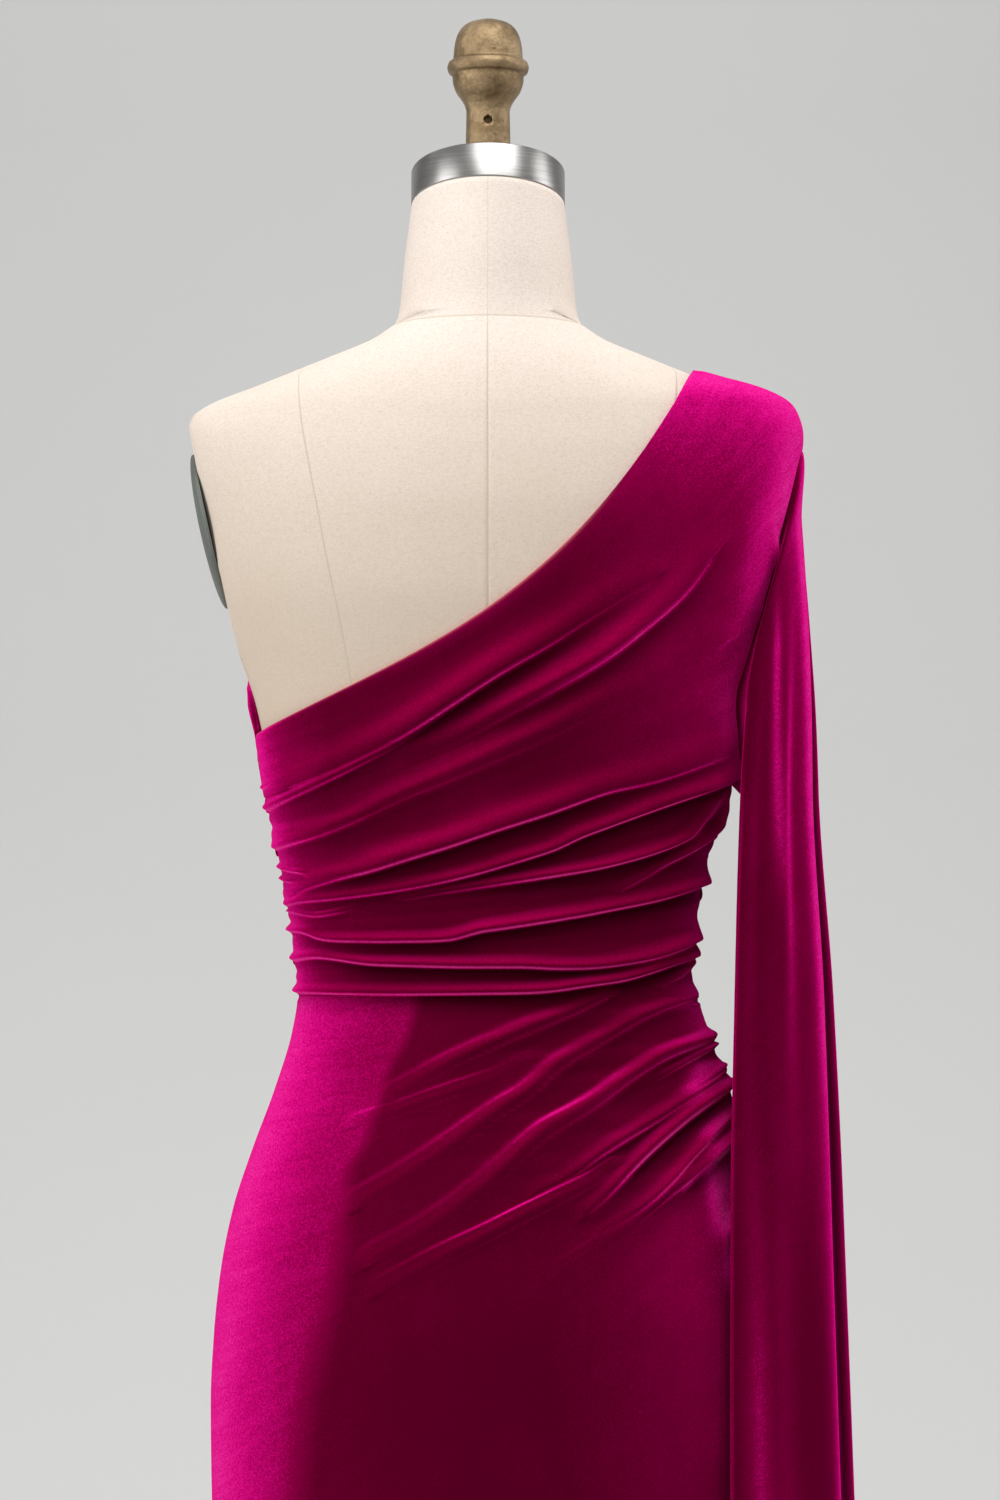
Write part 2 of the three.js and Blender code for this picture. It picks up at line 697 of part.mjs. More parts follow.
function toSolid(geometry) {
  const bare = geometry.clone();
  bare.deleteAttribute("normal");
  bare.deleteAttribute("uv");
  const merged = mergeVertices(bare, 1e-4);
  return new wasm.Manifold(
    new wasm.Mesh({
      numProp: 3,
      vertProperties: new Float32Array(merged.attributes.position.array),
      triVerts: new Uint32Array(merged.index.array),
    }),
  );
}

function fromSolid(solid) {
  const mesh = solid.getMesh();
  const geometry = new THREE.BufferGeometry();
  geometry.setAttribute("position", new THREE.BufferAttribute(new Float32Array(mesh.vertProperties), 3));
  geometry.setIndex(new THREE.BufferAttribute(new Uint32Array(mesh.triVerts), 1));
  geometry.computeVertexNormals();
  return geometry;
}

// The plane of an armhole plate: its middle, and the turn that lays +Z along its outward side.
function platePlace(hand) {
  const lean = (ARM_PLATE.lean * Math.PI) / 180;
  const matrix = new THREE.Matrix4().makeRotationY(hand * (Math.PI / 2 + lean));
  return matrix.setPosition(hand * ARM_PLATE.x, 0, ARM_PLATE.z);
}

// The padded body and neck, cut flat where the armhole plates sit.
function formTorso() {
  const heights = [
    ...steps(3).map((t) => mix(FORM_BOTTOM, 889, t)),
    ...FIGURE.map((row) => row.z).filter((z) => z > 900),
  ];
  const rings = [...heights.map(formRing), ...NECK.map(tippedRing)];
  const knife = new THREE.BoxGeometry(KNIFE, KNIFE, KNIFE).translate(0, 0, KNIFE / 2);
  return [-1, 1]
    .map((hand) => toSolid(knife.clone().applyMatrix4(platePlace(hand))))
    .reduce((body, cut) => body.subtract(cut), toSolid(loftGeometry(rings)));
}

// A shallow oval dome on a thin rim.
function armPlate(hand) {
  const profile = [[0, 0], [1, 0], [1, ARM_PLATE.rim]];
  for (const t of steps(ARM_PLATE.steps).slice(1)) {
    const angle = (Math.PI / 2) * t;
    profile.push([Math.cos(angle), mix(ARM_PLATE.rim, ARM_PLATE.dome, Math.sin(angle))]);
  }
  profile[profile.length - 1][0] = 0;
  const points = profile.map(([r, h]) => new THREE.Vector2(r, h));
  const geometry = new THREE.LatheGeometry(points, STEPS.turned).rotateX(Math.PI / 2);
  geometry.scale(ARM_PLATE.tall, ARM_PLATE.wide, 1).translate(0, 0, SEAM);
  return geometry.applyMatrix4(platePlace(hand));
}

function neckCap() {
  const top = NECK.at(-1);
  const [radius, bevel] = [NECK_CAP.radius, NECK_CAP.bevel];
  const lean = (top.tip * Math.PI) / 180;
  const along = new THREE.Vector3(0, Math.sin(lean), Math.cos(lean));
  const ring = (up, r) => tippedRing({ ...top, radius: r }).map((point) => point.addScaledVector(along, up));
  return loftGeometry([
    ring(SEAM, radius),
    ring(NECK_CAP.height - bevel, radius),
    ring(NECK_CAP.height, radius - bevel),
  ]);
}

// The cast knob, cut to sit on the tipped cap, with the pin hole through its stem.
function finial() {
  const top = NECK.at(-1);
  const lean = (top.tip * Math.PI) / 180;
  const knob = turned([{ z: top.z, r: FINIAL[0].r }, ...FINIAL], STEPS.turned).translate(0, top.forward, 0);
  const seat = new THREE.BoxGeometry(KNIFE, KNIFE, KNIFE);
  seat.translate(0, 0, NECK_CAP.height + SEAM - KNIFE / 2).rotateX(-lean).translate(0, top.forward, top.z);
  const { radius, z, deep } = FINIAL_PIN;
  const length = 2 * (deep + radius);
  const pin = new THREE.CylinderGeometry(radius, radius, length, STEPS.turned);
  pin.translate(0, top.forward - FINIAL[0].r + deep - length / 2, z);
  return fromSolid(toSolid(knob).subtract(toSolid(seat)).subtract(toSolid(pin)));
}

function pole() {
  const [low, high] = [BASE.at(-1).z + SEAM, FORM_BOTTOM - SEAM];
  return new THREE.CylinderGeometry(POLE_RADIUS, POLE_RADIUS, high - low, STEPS.turned)
    .rotateX(Math.PI / 2)
    .translate(0, 0, (low + high) / 2);
}

// A round body turned about Z through a table's radii, closed flat at both ends.
function turned(rows, sides) {
  const closed = [{ z: rows[0].z, r: 0 }, ...rows, { z: rows.at(-1).z, r: 0 }];
  const profile = closed.map(({ r, z }) => new THREE.Vector2(r, z));
  return new THREE.LatheGeometry(profile, sides).rotateX(Math.PI / 2);
}

const gown = new THREE.Group();
const stand = new THREE.Group();

function add(group, name, geometry, colour) {
  const mesh = new THREE.Mesh(geometry, new THREE.MeshStandardMaterial(COLOURS[colour]));
  mesh.name = name;
  group.add(mesh);
}

add(gown, "bodice_back", bodicePanel(-1, BODICE_BACK_FOLDS, STEPS.across), "velvet");
add(gown, "bodice_front", bodicePanel(1, BODICE_FRONT_FOLDS, STEPS.frontAcross), "velvet");
add(gown, "skirt_back", skirtPanel(-1, SKIRT_BACK_FOLDS), "velvet");
add(gown, "skirt_front", skirtPanel(1, SKIRT_FRONT_FOLDS), "velvet");
add(gown, "sleeve", sleeve(), "velvet");
add(stand, "form_torso", fromSolid(formTorso()), "linen");
add(stand, "neck_cap", neckCap(), "steel");
add(stand, "finial", finial(), "bronze");
add(stand, "arm_plate_left", armPlate(-1), "plate");
add(stand, "arm_plate_right", armPlate(1), "plate");
add(stand, "stand_pole", pole(), "iron");
add(stand, "stand_base", turned(BASE, STEPS.baseRound), "iron");

const part = new THREE.Group();
part.add(gown, stand);
export default part;
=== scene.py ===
"""A one-shoulder velvet gown on a limbless dress form, seen from behind.

Sizes are in millimetres up to the moment a mesh is written, which is in metres. +Z is up, the
gown's back faces -Y and its one sleeve hangs on the +X side.
"""

import logging
import math
from dataclasses import dataclass
from enum import Enum
from typing import Sequence

import bmesh
import bpy
import numpy as np
from mathutils import Matrix, Vector

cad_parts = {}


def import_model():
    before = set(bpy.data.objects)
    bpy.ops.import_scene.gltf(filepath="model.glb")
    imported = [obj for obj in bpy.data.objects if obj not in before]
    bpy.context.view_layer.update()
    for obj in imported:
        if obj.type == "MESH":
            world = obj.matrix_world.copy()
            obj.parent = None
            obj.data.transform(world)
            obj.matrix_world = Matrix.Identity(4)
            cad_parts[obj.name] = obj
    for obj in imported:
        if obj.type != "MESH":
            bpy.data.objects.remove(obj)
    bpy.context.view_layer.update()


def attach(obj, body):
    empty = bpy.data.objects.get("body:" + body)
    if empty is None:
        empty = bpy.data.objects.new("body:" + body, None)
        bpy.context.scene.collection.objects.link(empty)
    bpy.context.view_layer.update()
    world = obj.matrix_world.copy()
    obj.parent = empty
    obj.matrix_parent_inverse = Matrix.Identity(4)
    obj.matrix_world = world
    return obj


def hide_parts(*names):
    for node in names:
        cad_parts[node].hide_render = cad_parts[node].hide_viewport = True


LOG = logging.getLogger("gown")
MM = 0.001
BODY = "root"
WAIST = 1060


class Side(Enum):
    """Which half of the body a panel covers: its value is the sign of Y there."""

    BACK = -1
    FRONT = 1

    def of(self, pair: tuple[float, float]) -> float:
        """Returns this side's own value from a pair for the back and the front."""
        return pair[0 if self is Side.BACK else 1]


class Held(Enum):
    """How a panel of cloth is held."""

    GATHERED = "gathered"
    HUNG = "hung"


def smooth(t: np.ndarray) -> np.ndarray:
    """Eases from 0 to 1 as t does."""
    s = np.clip(t, 0, 1)
    return s * s * (3 - 2 * s)


def mix(a: float, b: float, t: np.ndarray) -> np.ndarray:
    """Goes from a to b as t goes from 0 to 1."""
    return a + (b - a) * t


def bridge(start: np.ndarray, leave: np.ndarray, end: np.ndarray, arrive: np.ndarray,
           t: np.ndarray) -> np.ndarray:
    """Goes from a start to an end, leaving the one and arriving at the other at given slopes.

    Args:
        start: where it starts.
        leave: its slope there.
        end: where it ends.
        arrive: its slope there.
        t: how far along, 0 to 1.

    Returns:
        The place at t.
    """
    return (
        start * (2 * t**3 - 3 * t**2 + 1)
        + leave * (t**3 - 2 * t**2 + t)
        + end * (3 * t**2 - 2 * t**3)
        + arrive * (t**3 - t**2)
    )


class Curve:
    """A smooth line through a table's places and values that never overshoots them."""

    def __init__(self, places: Sequence[float], values: Sequence[float]) -> None:
        """Works out the slope at each row.

        Args:
            places: where each value stands, rising.
            values: the value at each place.
        """
        self.x = np.array(places, float)
        self.y = np.array(values, float)
        rise = np.diff(self.y) / np.diff(self.x)
        slope = np.zeros(len(self.x))
        slope[0], slope[-1] = rise[0], rise[-1]
        a, b = rise[:-1], rise[1:]
        same = a * b > 0
        slope[1:-1][same] = 2 * a[same] * b[same] / (a[same] + b[same])
        self.slope = slope

    def __call__(self, at: np.ndarray) -> np.ndarray:
        """Reads the curve.

        Args:
            at: the places.

        Returns:
            The values.
        """
        at = np.clip(at, self.x[0], self.x[-1])
        i = np.clip(np.searchsorted(self.x, at, side="right") - 1, 0, len(self.x) - 2)
        span = self.x[i + 1] - self.x[i]
        leave, arrive = self.slope[i] * span, self.slope[i + 1] * span
        return bridge(self.y[i], leave, self.y[i + 1], arrive, (at - self.x[i]) / span)


def curves(rows: Sequence[object], *names: str) -> dict[str, Curve]:
    """Makes a curve up through each named column of a table whose rows have their height as z."""
    places = [row.z for row in rows]
    return {name: Curve(places, [getattr(row, name) for row in rows]) for name in names}


@dataclass(frozen=True)
class FigureRow:
    """One level of the form: half width at the side, depth behind and before, outline power."""

    z: float
    half: float
    back: float
    front: float
    power: float


@dataclass(frozen=True)
class Bust:
    """The front's two soft mounds: middle, height for the cloth and for the form, and reach."""

    x: float = 78
    z: float = 1290
    out: float = 20
    form_out: float = 14
    wide: float = 50
    tall: float = 54


class Figure:
    """The general figure that the form and the gown are both cut to."""

    ROWS = (
        FigureRow(0, 300, 268, 262, 2),
        FigureRow(120, 262, 230, 224, 2),
        FigureRow(250, 218, 182, 174, 2),
        FigureRow(400, 178, 136, 124, 2.1),
        FigureRow(520, 165, 117, 104, 2.2),
        FigureRow(650, 165, 114, 94, 2.2),
        FigureRow(745, 169, 118, 90, 2.2),
        FigureRow(808, 170, 121, 90, 2.2),
        FigureRow(851, 168, 122, 91, 2.2),
        FigureRow(889, 164, 119, 92, 2.2),
        FigureRow(927, 156.5, 112, 91, 2.2),
        FigureRow(964, 144.5, 102, 89, 2.2),
        FigureRow(1002, 130.5, 88, 85, 2.2),
        FigureRow(1039, 119.5, 78, 81, 2.2),
        FigureRow(1060, 116.5, 75, 80, 2.2),
        FigureRow(1095, 119.5, 77, 82, 2.2),
        FigureRow(1133, 125, 80, 86, 2.25),
        FigureRow(1170, 132, 85, 91, 2.3),
        FigureRow(1208, 138.5, 91, 96, 2.35),
        FigureRow(1245, 145.5, 97, 99, 2.4),
        FigureRow(1287, 160, 102, 98, 2.4),
        FigureRow(1314, 169, 104, 94, 2.4),
        FigureRow(1358, 180, 103, 86, 2.3),
        FigureRow(1398, 188.5, 97, 76, 2.2),
        FigureRow(1414, 190.5, 93, 72, 2.1),
        FigureRow(1426, 187, 90, 69, 2),
        FigureRow(1434, 175, 87, 66, 2),
        FigureRow(1444, 149, 83, 63, 2),
        FigureRow(1454, 124, 78, 60, 2),
        FigureRow(1464, 99, 72, 57, 2),
        FigureRow(1474, 75, 65, 54, 2),
        FigureRow(1484, 60, 58, 53, 2),
    )
    RIGHT_BULK = (
        (880, 0), (930, 6), (970, 13), (1000, 17), (1040, 15), (1060, 11), (1084, 7), (1131, 7),
        (1168, 10), (1195, 15), (1231, 14), (1260, 10), (1350, 8), (1408, 6), (1430, 6), (1444, 3),
        (1454, 0),
    )
    LEFT_BULK = ((1060, 0), (1150, 1), (1208, 3), (1226, 2.5), (1260, 3))
    SIDE_FADE = 0.55

    def __init__(self) -> None:
        """Makes the curves through the tables."""
        table = curves(self.ROWS, "half", "back", "front", "power")
        self.half, self.back, self.front, self.power = table.values()
        self.right_bulk = Curve(*zip(*self.RIGHT_BULK))
        self.left_bulk = Curve(*zip(*self.LEFT_BULK))
        self.bust = Bust()

    def depth(self, side: Side, z: np.ndarray) -> np.ndarray:
        """Returns how far the figure reaches behind or before its sides."""
        return self.back(z) if side is Side.BACK else self.front(z)

    def across(self, angle: np.ndarray, z: np.ndarray) -> np.ndarray:
        """Returns x on the figure's outline, the angle going round from its left side."""
        cos = np.cos(angle)
        return -self.half(z) * np.sign(cos) * np.abs(cos) ** (2 / self.power(z))

    def level(self, side: Side, x: np.ndarray, y: np.ndarray, z: np.ndarray) -> np.ndarray:
        """Returns a value that is 0 on the figure and grows outwards."""
        power = self.power(z)
        return (np.abs(x) / self.half(z)) ** power + (np.abs(y) / self.depth(side, z)) ** power - 1

    def point(self, side: Side, x: np.ndarray, z: np.ndarray) -> tuple[np.ndarray, np.ndarray]:
        """Finds the figure's surface.

        Args:
            side: the back or the front.
            x: places across.
            z: heights.

        Returns:
            The surface points and the outward directions, each with a last axis of 3.
        """
        half, power, depth = self.half(z), self.power(z), self.depth(side, z)
        across = np.clip(np.abs(x) / half, 0, 1)
        y = side.value * depth * (1 - across**power) ** (1 / power)
        step = 0.5
        rise = (self.level(side, x, y, z + step) - self.level(side, x, y, z - step)) / (2 * step)
        out_x = np.sign(x) * power * across ** (power - 1) / half
        out_y = side.value * power * (np.abs(y) / depth) ** (power - 1) / depth
        normal = np.stack([out_x, out_y, rise], -1)
        normal /= np.linalg.norm(normal, axis=-1, keepdims=True)
        return np.stack([x, y, z], -1), normal

    def bust_lift(self, side: Side, x: np.ndarray, z: np.ndarray, out: float) -> np.ndarray:
        """Works out how far the two mounds stand out of the plain figure.

        Args:
            side: the back or the front.
            x: places across.
            z: heights.
            out: the mounds' own height.

        Returns:
            The height above the plain figure.
        """
        if side is Side.BACK:
            return np.zeros_like(x)
        up = (z - self.bust.z) / self.bust.tall
        mounds = [
            np.exp(-(((x - hand * self.bust.x) / self.bust.wide) ** 2) - up**2) for hand in (-1, 1)
        ]
        return out * (mounds[0] + mounds[1])

    def side_lift(self, x: np.ndarray, z: np.ndarray) -> np.ndarray:
        """Works out how far the gathered cloth stands off near the side seams.

        Args:
            x: places across.
            z: heights.

        Returns:
            The height above the plain figure.
        """
        across = np.abs(x) / self.half(z)
        fade = smooth((across - self.SIDE_FADE) / (1 - self.SIDE_FADE))
        return fade * np.where(x > 0, self.right_bulk(z), self.left_bulk(z))


@dataclass(frozen=True)
class Fold:
    """One overlapping roll of cloth, drawn as seen square-on: its lower edge as x, z pairs, its
    height at its start, middle and end, how far its upper slope reaches at its start and end, and
    half the width of its drop at its start and end."""

    line: tuple[float, ...]
    height: tuple[float, float, float]
    above: tuple[float, float]
    drop: tuple[float, float]


@dataclass(frozen=True)
class Relief:
    """What the folds do at each point: their height, the painted highlight on their edges, the
    painted shade in their creases and the painted highlight on their upper slopes."""

    height: np.ndarray
    edge: np.ndarray
    crease: np.ndarray
    roll: np.ndarray


class Folds:
    """A set of overlapping folds on one panel."""

    SIGHT = 3200
    CURVE_STEPS = 4
    FULL = 5.0
    CRISP = 3.0
    EDGE_WIDTH = 0.8
    CREASE_WIDTH = 7.5
    FULLNESS = 1.2
    ROLL_AT = 0.42
    ROLL_WIDTH = 0.2

    def __init__(self, folds: Sequence[Fold]) -> None:
        """Keeps the folds."""
        self.folds = folds

    def rounded(self, line: tuple[float, ...]) -> np.ndarray:
        """Eases a line's corners into a smooth curve.

        Args:
            line: the corners as x, z pairs in one row.

        Returns:
            The curve's points.
        """
        knots = np.array(line, float).reshape(-1, 2)
        fine = np.linspace(0, len(knots) - 1, self.CURVE_STEPS * (len(knots) - 1) + 1)
        padded = np.vstack([2 * knots[0] - knots[1], knots, 2 * knots[-1] - knots[-2]])
        i = np.clip(fine.astype(int), 0, len(knots) - 2)
        t = (fine - i)[:, None]
        a, b, c, d = padded[i], padded[i + 1], padded[i + 2], padded[i + 3]
        bend = (c - a) * t + (2 * a - 5 * b + 4 * c - d) * t**2 + (3 * b - a - 3 * c + d) * t**3
        return b + 0.5 * bend

    def one(self, fold: Fold, x: np.ndarray, z: np.ndarray) -> Relief:
        """Works out what one fold does at each place of the drawing plane.

        Args:
            fold: the fold.
            x: places across.
            z: heights.

        Returns:
            Its relief.
        """
        line = self.rounded(fold.line)
        count = len(line) - 1
        nearest = np.full(x.shape, np.inf)
        along = np.zeros_like(x)
        side = np.ones_like(x)
        for i in range(count):
            (ax, az), (bx, bz) = line[i], line[i + 1]
            dx, dz = bx - ax, bz - az
            t = np.clip(((x - ax) * dx + (z - az) * dz) / (dx * dx + dz * dz), 0, 1)
            gx, gz = x - ax - t * dx, z - az - t * dz
            square = gx * gx + gz * gz
            closer = square < nearest
            nearest = np.where(closer, square, nearest)
            along = np.where(closer, (i + t) / count, along)
            side = np.where(closer, np.where(gz * dx - gx * dz > 0, 1, -1), side)
        off = side * np.sqrt(nearest)
        above, drop = mix(*fold.above, along), mix(*fold.drop, along)
        start, middle, end = fold.height
        high = np.where(along < 0.5, mix(start, middle, smooth(2 * along)),
                        mix(middle, end, smooth(2 * along - 1)))
        fall = 1 - smooth((off - drop) / (above - drop))
        rise = smooth((off + drop) / (2 * drop))
        sharp = np.clip(high / self.FULL, 0, 1) * np.clip(self.CRISP / drop, 0, 1) ** 2
        # Painted highlight: a thin bright line along the fold's lower edge.
        edge = sharp * np.exp(-(((off + 0.2 * drop) / self.EDGE_WIDTH) ** 2))
        # Painted shade in the crease just below the fold's edge.
        below = -(off + drop) / self.CREASE_WIDTH
        start = smooth(-(off + 0.5 * drop) / drop)
        crease = sharp * start * np.exp(-np.clip(below, 0, None) ** 1.4)
        # Painted highlight on the roll's upper slope, where it faces the light above.
        slope = (off / above - self.ROLL_AT) / self.ROLL_WIDTH
        roll = np.clip(high / self.FULL, 0, 1.2) * rise * np.exp(-(slope**2))
        return Relief(self.FULLNESS * high * rise * fall, edge, crease, roll)

    @classmethod
    def drawn(cls, point: np.ndarray) -> tuple[np.ndarray, np.ndarray]:
        """Returns where points of the plain surface stand in the drawing plane."""
        scale = cls.SIGHT / (cls.SIGHT - np.abs(point[..., 1]))
        return point[..., 0] * scale, WAIST + (point[..., 2] - WAIST) * scale

    def relief(self, point: np.ndarray) -> Relief:
        """Works out what all the folds together do at points of the plain surface.

        Args:
            point: points of the plain surface.

        Returns:
            Their relief.
        """
        x, z = self.drawn(point)
        each = [self.one(fold, x, z) for fold in self.folds]
        height = np.max([one.height for one in each] + [np.zeros_like(x)], axis=0)
        edge, crease, roll = np.zeros_like(x), np.zeros_like(x), np.zeros_like(x)
        for one in each:
            shown = smooth(2.5 * one.height / np.maximum(height, 0.3) - 0.2)
            edge = np.maximum(edge, one.edge * shown)
            roll = np.maximum(roll, one.roll * shown)
            crease = np.maximum(crease, one.crease * (1 - 0.75 * smooth(height / 5)))
        return Relief(height, edge, crease * (1 - edge), roll * (1 - crease))


BODICE_BACK_FOLDS = (
    Fold((-119, 1193, -87, 1207, -55, 1223, -24, 1243, 8, 1264, 39, 1282, 71, 1303, 102, 1322),
         (2, 6, 1.5), (26, 28), (2, 4)),
    Fold((-138, 1176, -119, 1186, -87, 1202, -55, 1219, -30, 1236), (2.5, 3, 0.5), (6, 7), (1.8, 2)),
    Fold((-68, 1204, -24, 1219, 8, 1236, 39, 1253, 71, 1272, 96, 1291, 121, 1314, 137, 1336),
         (1, 8, 1.5), (12, 26), (8, 2.2)),
    Fold((-132, 1153, -93, 1166, -55, 1184, -24, 1197, 8, 1211, 39, 1225, 71, 1242, 102, 1258,
          134, 1280), (2.5, 5, 1), (14, 26), (1.8, 12)),
    Fold((-118, 1123, -111, 1128, -93, 1134, -74, 1139, -55, 1145, -24, 1155, 8, 1166, 39, 1176,
          71, 1188, 102, 1197, 134, 1214), (1.5, 7, 2), (15, 28), (2, 2.4)),
    Fold((-126, 1117, -115, 1120, -93, 1122, -55, 1127, -24, 1133, 8, 1142, 39, 1152, 58, 1161,
          83, 1171, 108, 1183, 134, 1198, 146, 1212, 156, 1229), (2, 5, 5), (7, 16), (1.6, 2)),
    Fold((-52, 1121, -24, 1126, 8, 1131, 39, 1136, 71, 1142, 96, 1150, 115, 1160, 124, 1171,
          130, 1186), (1.5, 6, 2), (7, 10), (2, 2)),
    Fold((82, 1127, 102, 1141, 127, 1161, 140, 1181, 152, 1200, 158, 1223), (1.5, 4, 2.5), (8, 9),
         (2, 2)),
    Fold((-125, 1102, -113, 1101, -99, 1096, -74, 1095, -55, 1095, -24, 1096, -5, 1101, 8, 1103,
          39, 1108, 71, 1114, 102, 1122, 127, 1133, 141, 1141), (2.5, 6, 4.5), (6, 12), (1.6, 2)),
    Fold((-122, 1083, -106, 1085, -93, 1084, -74, 1081, -55, 1080, -18, 1079, 20, 1079, 45, 1078,
          71, 1079, 96, 1084, 115, 1093, 137, 1108), (3, 6, 5), (6, 12), (1.6, 2)),
    Fold((-118, 1063, -93, 1062, -55, 1061.5, -5, 1062, 33, 1063, 58, 1066.5, 83, 1071, 108, 1081,
          121, 1087, 137, 1097), (2.5, 6, 4), (9, 10), (1.2, 2)),
    Fold((101, 1067, 111, 1074, 121, 1083, 132, 1092), (1, 3, 2.5), (6, 6), (2, 2)),
    Fold((-130, 1143, -122, 1140, -112, 1138, -104, 1133), (2, 2.5, 0.5), (3.5, 3.5), (1.4, 1.4)),
    Fold((-129, 1136, -122, 1133, -114, 1132), (2, 2, 0.5), (3, 3), (1.4, 1.4)),
    Fold((-144, 1191, -137, 1191, -129, 1196), (2, 2, 0.5), (4, 4), (1.5, 1.5)),
    Fold((-120, 1114, -106, 1111, -92, 1113, -80, 1116), (1.5, 2, 0.5), (3.5, 4), (1.5, 1.5)),
    Fold((176, 1312, 175, 1330, 172, 1356), (1.5, 3, 0.5), (10, 6), (1.6, 1.6)),
    Fold((164, 1262, 165, 1284, 163, 1306), (0.8, 2.5, 0.5), (9, 7), (1.8, 1.8)),
)
BODICE_FRONT_FOLDS = (
    Fold((-128, 1206, -70, 1232, -10, 1272, 50, 1318, 98, 1352), (1.2, 6, 1.5), (18, 24), (3, 4)),
    Fold((-132, 1178, -70, 1200, -10, 1232, 50, 1268, 112, 1302), (1.6, 8, 1), (14, 22), (3, 3)),
    Fold((-126, 1150, -60, 1166, 0, 1188, 70, 1222, 130, 1252), (1.6, 7, 1), (13, 20), (2.5, 3)),
    Fold((-122, 1124, -60, 1132, 0, 1146, 70, 1172, 142, 1214), (1.6, 8, 1.5), (12, 16), (2.5, 2.5)),
    Fold((-120, 1100, -60, 1104, 0, 1112, 70, 1132, 142, 1168), (1.6, 8, 1.5), (10, 14), (2, 2.5)),
    Fold((-118, 1080, -60, 1081, 0, 1085, 70, 1098, 136, 1128), (1.6, 7, 1.5), (9, 12), (2, 2.5)),
    Fold((-116, 1063, -30, 1062, 40, 1066, 90, 1078, 132, 1096), (1.6, 6, 1.5), (8, 10), (1.5, 2)),
)
SKIRT_BACK_FOLDS = (
    Fold((-55, 996, -36, 1007, -18, 1017, 8, 1029, 33, 1040, 54, 1049, 73, 1059), (1.5, 5, 2),
         (12, 13), (8, 2.2)),
    Fold((116, 1052, 127, 1054, 136, 1059), (0.5, 2, 1.5), (4, 4), (1.4, 1.4)),
    Fold((-77, 978, -55, 985, -24, 996, 8, 1007, 26, 1017), (1, 2.2, 0.8), (10, 10), (7, 7)),
    Fold((-74, 929, -43, 948, -18, 965, 8, 984, 26, 996, 45, 1014, 70, 1030, 96, 1047, 122, 1062),
         (1.5, 6, 2), (15, 11), (10, 2.2)),
    Fold((-66, 894, -36, 911, -5, 934, 20, 956, 33, 968, 45, 976, 64, 988, 83, 1003, 102, 1017,
          121, 1027, 133, 1039, 141, 1050), (1.5, 7.5, 2.5), (16, 9), (10, 1.6)),
    Fold((96, 1002, 105, 1008, 122, 1021, 135, 1035, 144, 1047), (0.5, 3, 1.5), (5, 4), (1.6, 1.4)),
    Fold((102, 983, 121, 999, 136, 1018, 147, 1033), (0.5, 3, 1.5), (6, 5), (2, 1.6)),
    Fold((33, 937, 52, 946, 70, 959, 89, 971, 105, 981, 122, 996, 136, 1014), (1, 4, 2), (11, 11),
         (2.2, 2)),
    Fold((-61, 876, -30, 893, -5, 905, 20, 918, 45, 931, 64, 941, 78, 951), (1, 5, 2), (13, 9),
         (9, 6)),
    Fold((63, 924, 77, 937, 96, 958, 114, 976, 133, 996, 146, 1013, 152, 1028), (1.5, 7, 2), (11, 9),
         (3, 2)),
    Fold((70, 910, 95, 926, 111, 941, 127, 964, 141, 984, 153, 1008), (1, 5.5, 2), (10, 9), (2.4, 2)),
    Fold((95, 919, 108, 931, 121, 942, 131, 953, 141, 964, 149, 976, 153, 988, 155, 1000),
         (1, 6.5, 4.5), (12, 11), (2.4, 1.8)),
    Fold((144, 901, 148, 916, 153, 936), (1, 3, 2.5), (6, 6), (1.6, 1.6)),
    Fold((45, 885, 70, 901, 102, 923, 127, 943), (0.4, 1.6, 1), (11, 11), (8, 8)),
)
SKIRT_FRONT_FOLDS = (
    Fold((-40, 1016, 10, 1036, 60, 1052, 104, 1062), (1, 5, 1), (11, 12), (6, 3)),
    Fold((-66, 954, -10, 980, 50, 1016, 116, 1056), (2, 7, 1), (13, 12), (8, 2.5)),
    Fold((-50, 906, 10, 940, 70, 982, 134, 1036), (2, 7, 1), (14, 12), (8, 2.5)),
    Fold((30, 906, 80, 944, 120, 984, 148, 1016), (1, 6, 1.5), (12, 11), (6, 2.5)),
)
ALL_FOLDS = {
    Side.BACK: Folds(BODICE_BACK_FOLDS + SKIRT_BACK_FOLDS),
    Side.FRONT: Folds(BODICE_FRONT_FOLDS + SKIRT_FRONT_FOLDS),
}


@dataclass(frozen=True)
class SheenPatch:
    """A patch of painted sheen, or of painted shade where its gain is below 0, drawn as seen square-on:
    its middle, half width across, half length along, lean from upright in degrees and how bright it is."""

    x: float
    z: float
    wide: float
    tall: float
    lean: float
    gain: float

    def __call__(self, point: np.ndarray) -> np.ndarray:
        """Works out the painted sheen over the patch.

        Args:
            point: points of the plain surface.

        Returns:
            The painted sheen to add, below 0 where it is painted shade.
        """
        x, z = Folds.drawn(point)
        lean = math.radians(self.lean)
        across = (x - self.x) * math.cos(lean) - (z - self.z) * math.sin(lean)
        along = (x - self.x) * math.sin(lean) + (z - self.z) * math.cos(lean)
        return self.gain * np.exp(-((across / self.wide) ** 2) - (along / self.tall) ** 4)


# Patches of painted sheen, and of painted shade where the gain is below 0, on the bodice and skirt.
BODICE_SHEEN = (
    SheenPatch(184, 1392, 8, 46, 17, 0.6),
    SheenPatch(160, 1340, 7, 34, 12, 0.3),
    SheenPatch(150, 1235, 14, 40, -30, 0.14),
    SheenPatch(-112, 1205, 12, 14, 20, 0.12),
)
SKIRT_SHEEN = (
    SheenPatch(117, 1003, 5, 12, 14, 0.9),
    SheenPatch(131, 976, 5, 13, 30, 1.0),
    SheenPatch(139, 938, 7, 26, -16, 1.5),
    SheenPatch(148, 900, 5, 22, -8, 1.1),
    SheenPatch(152, 952, 3, 30, -3, -0.8),
    SheenPatch(120, 900, 26, 44, 30, 0.2),
    SheenPatch(108, 800, 44, 100, 0, 0.1),
)


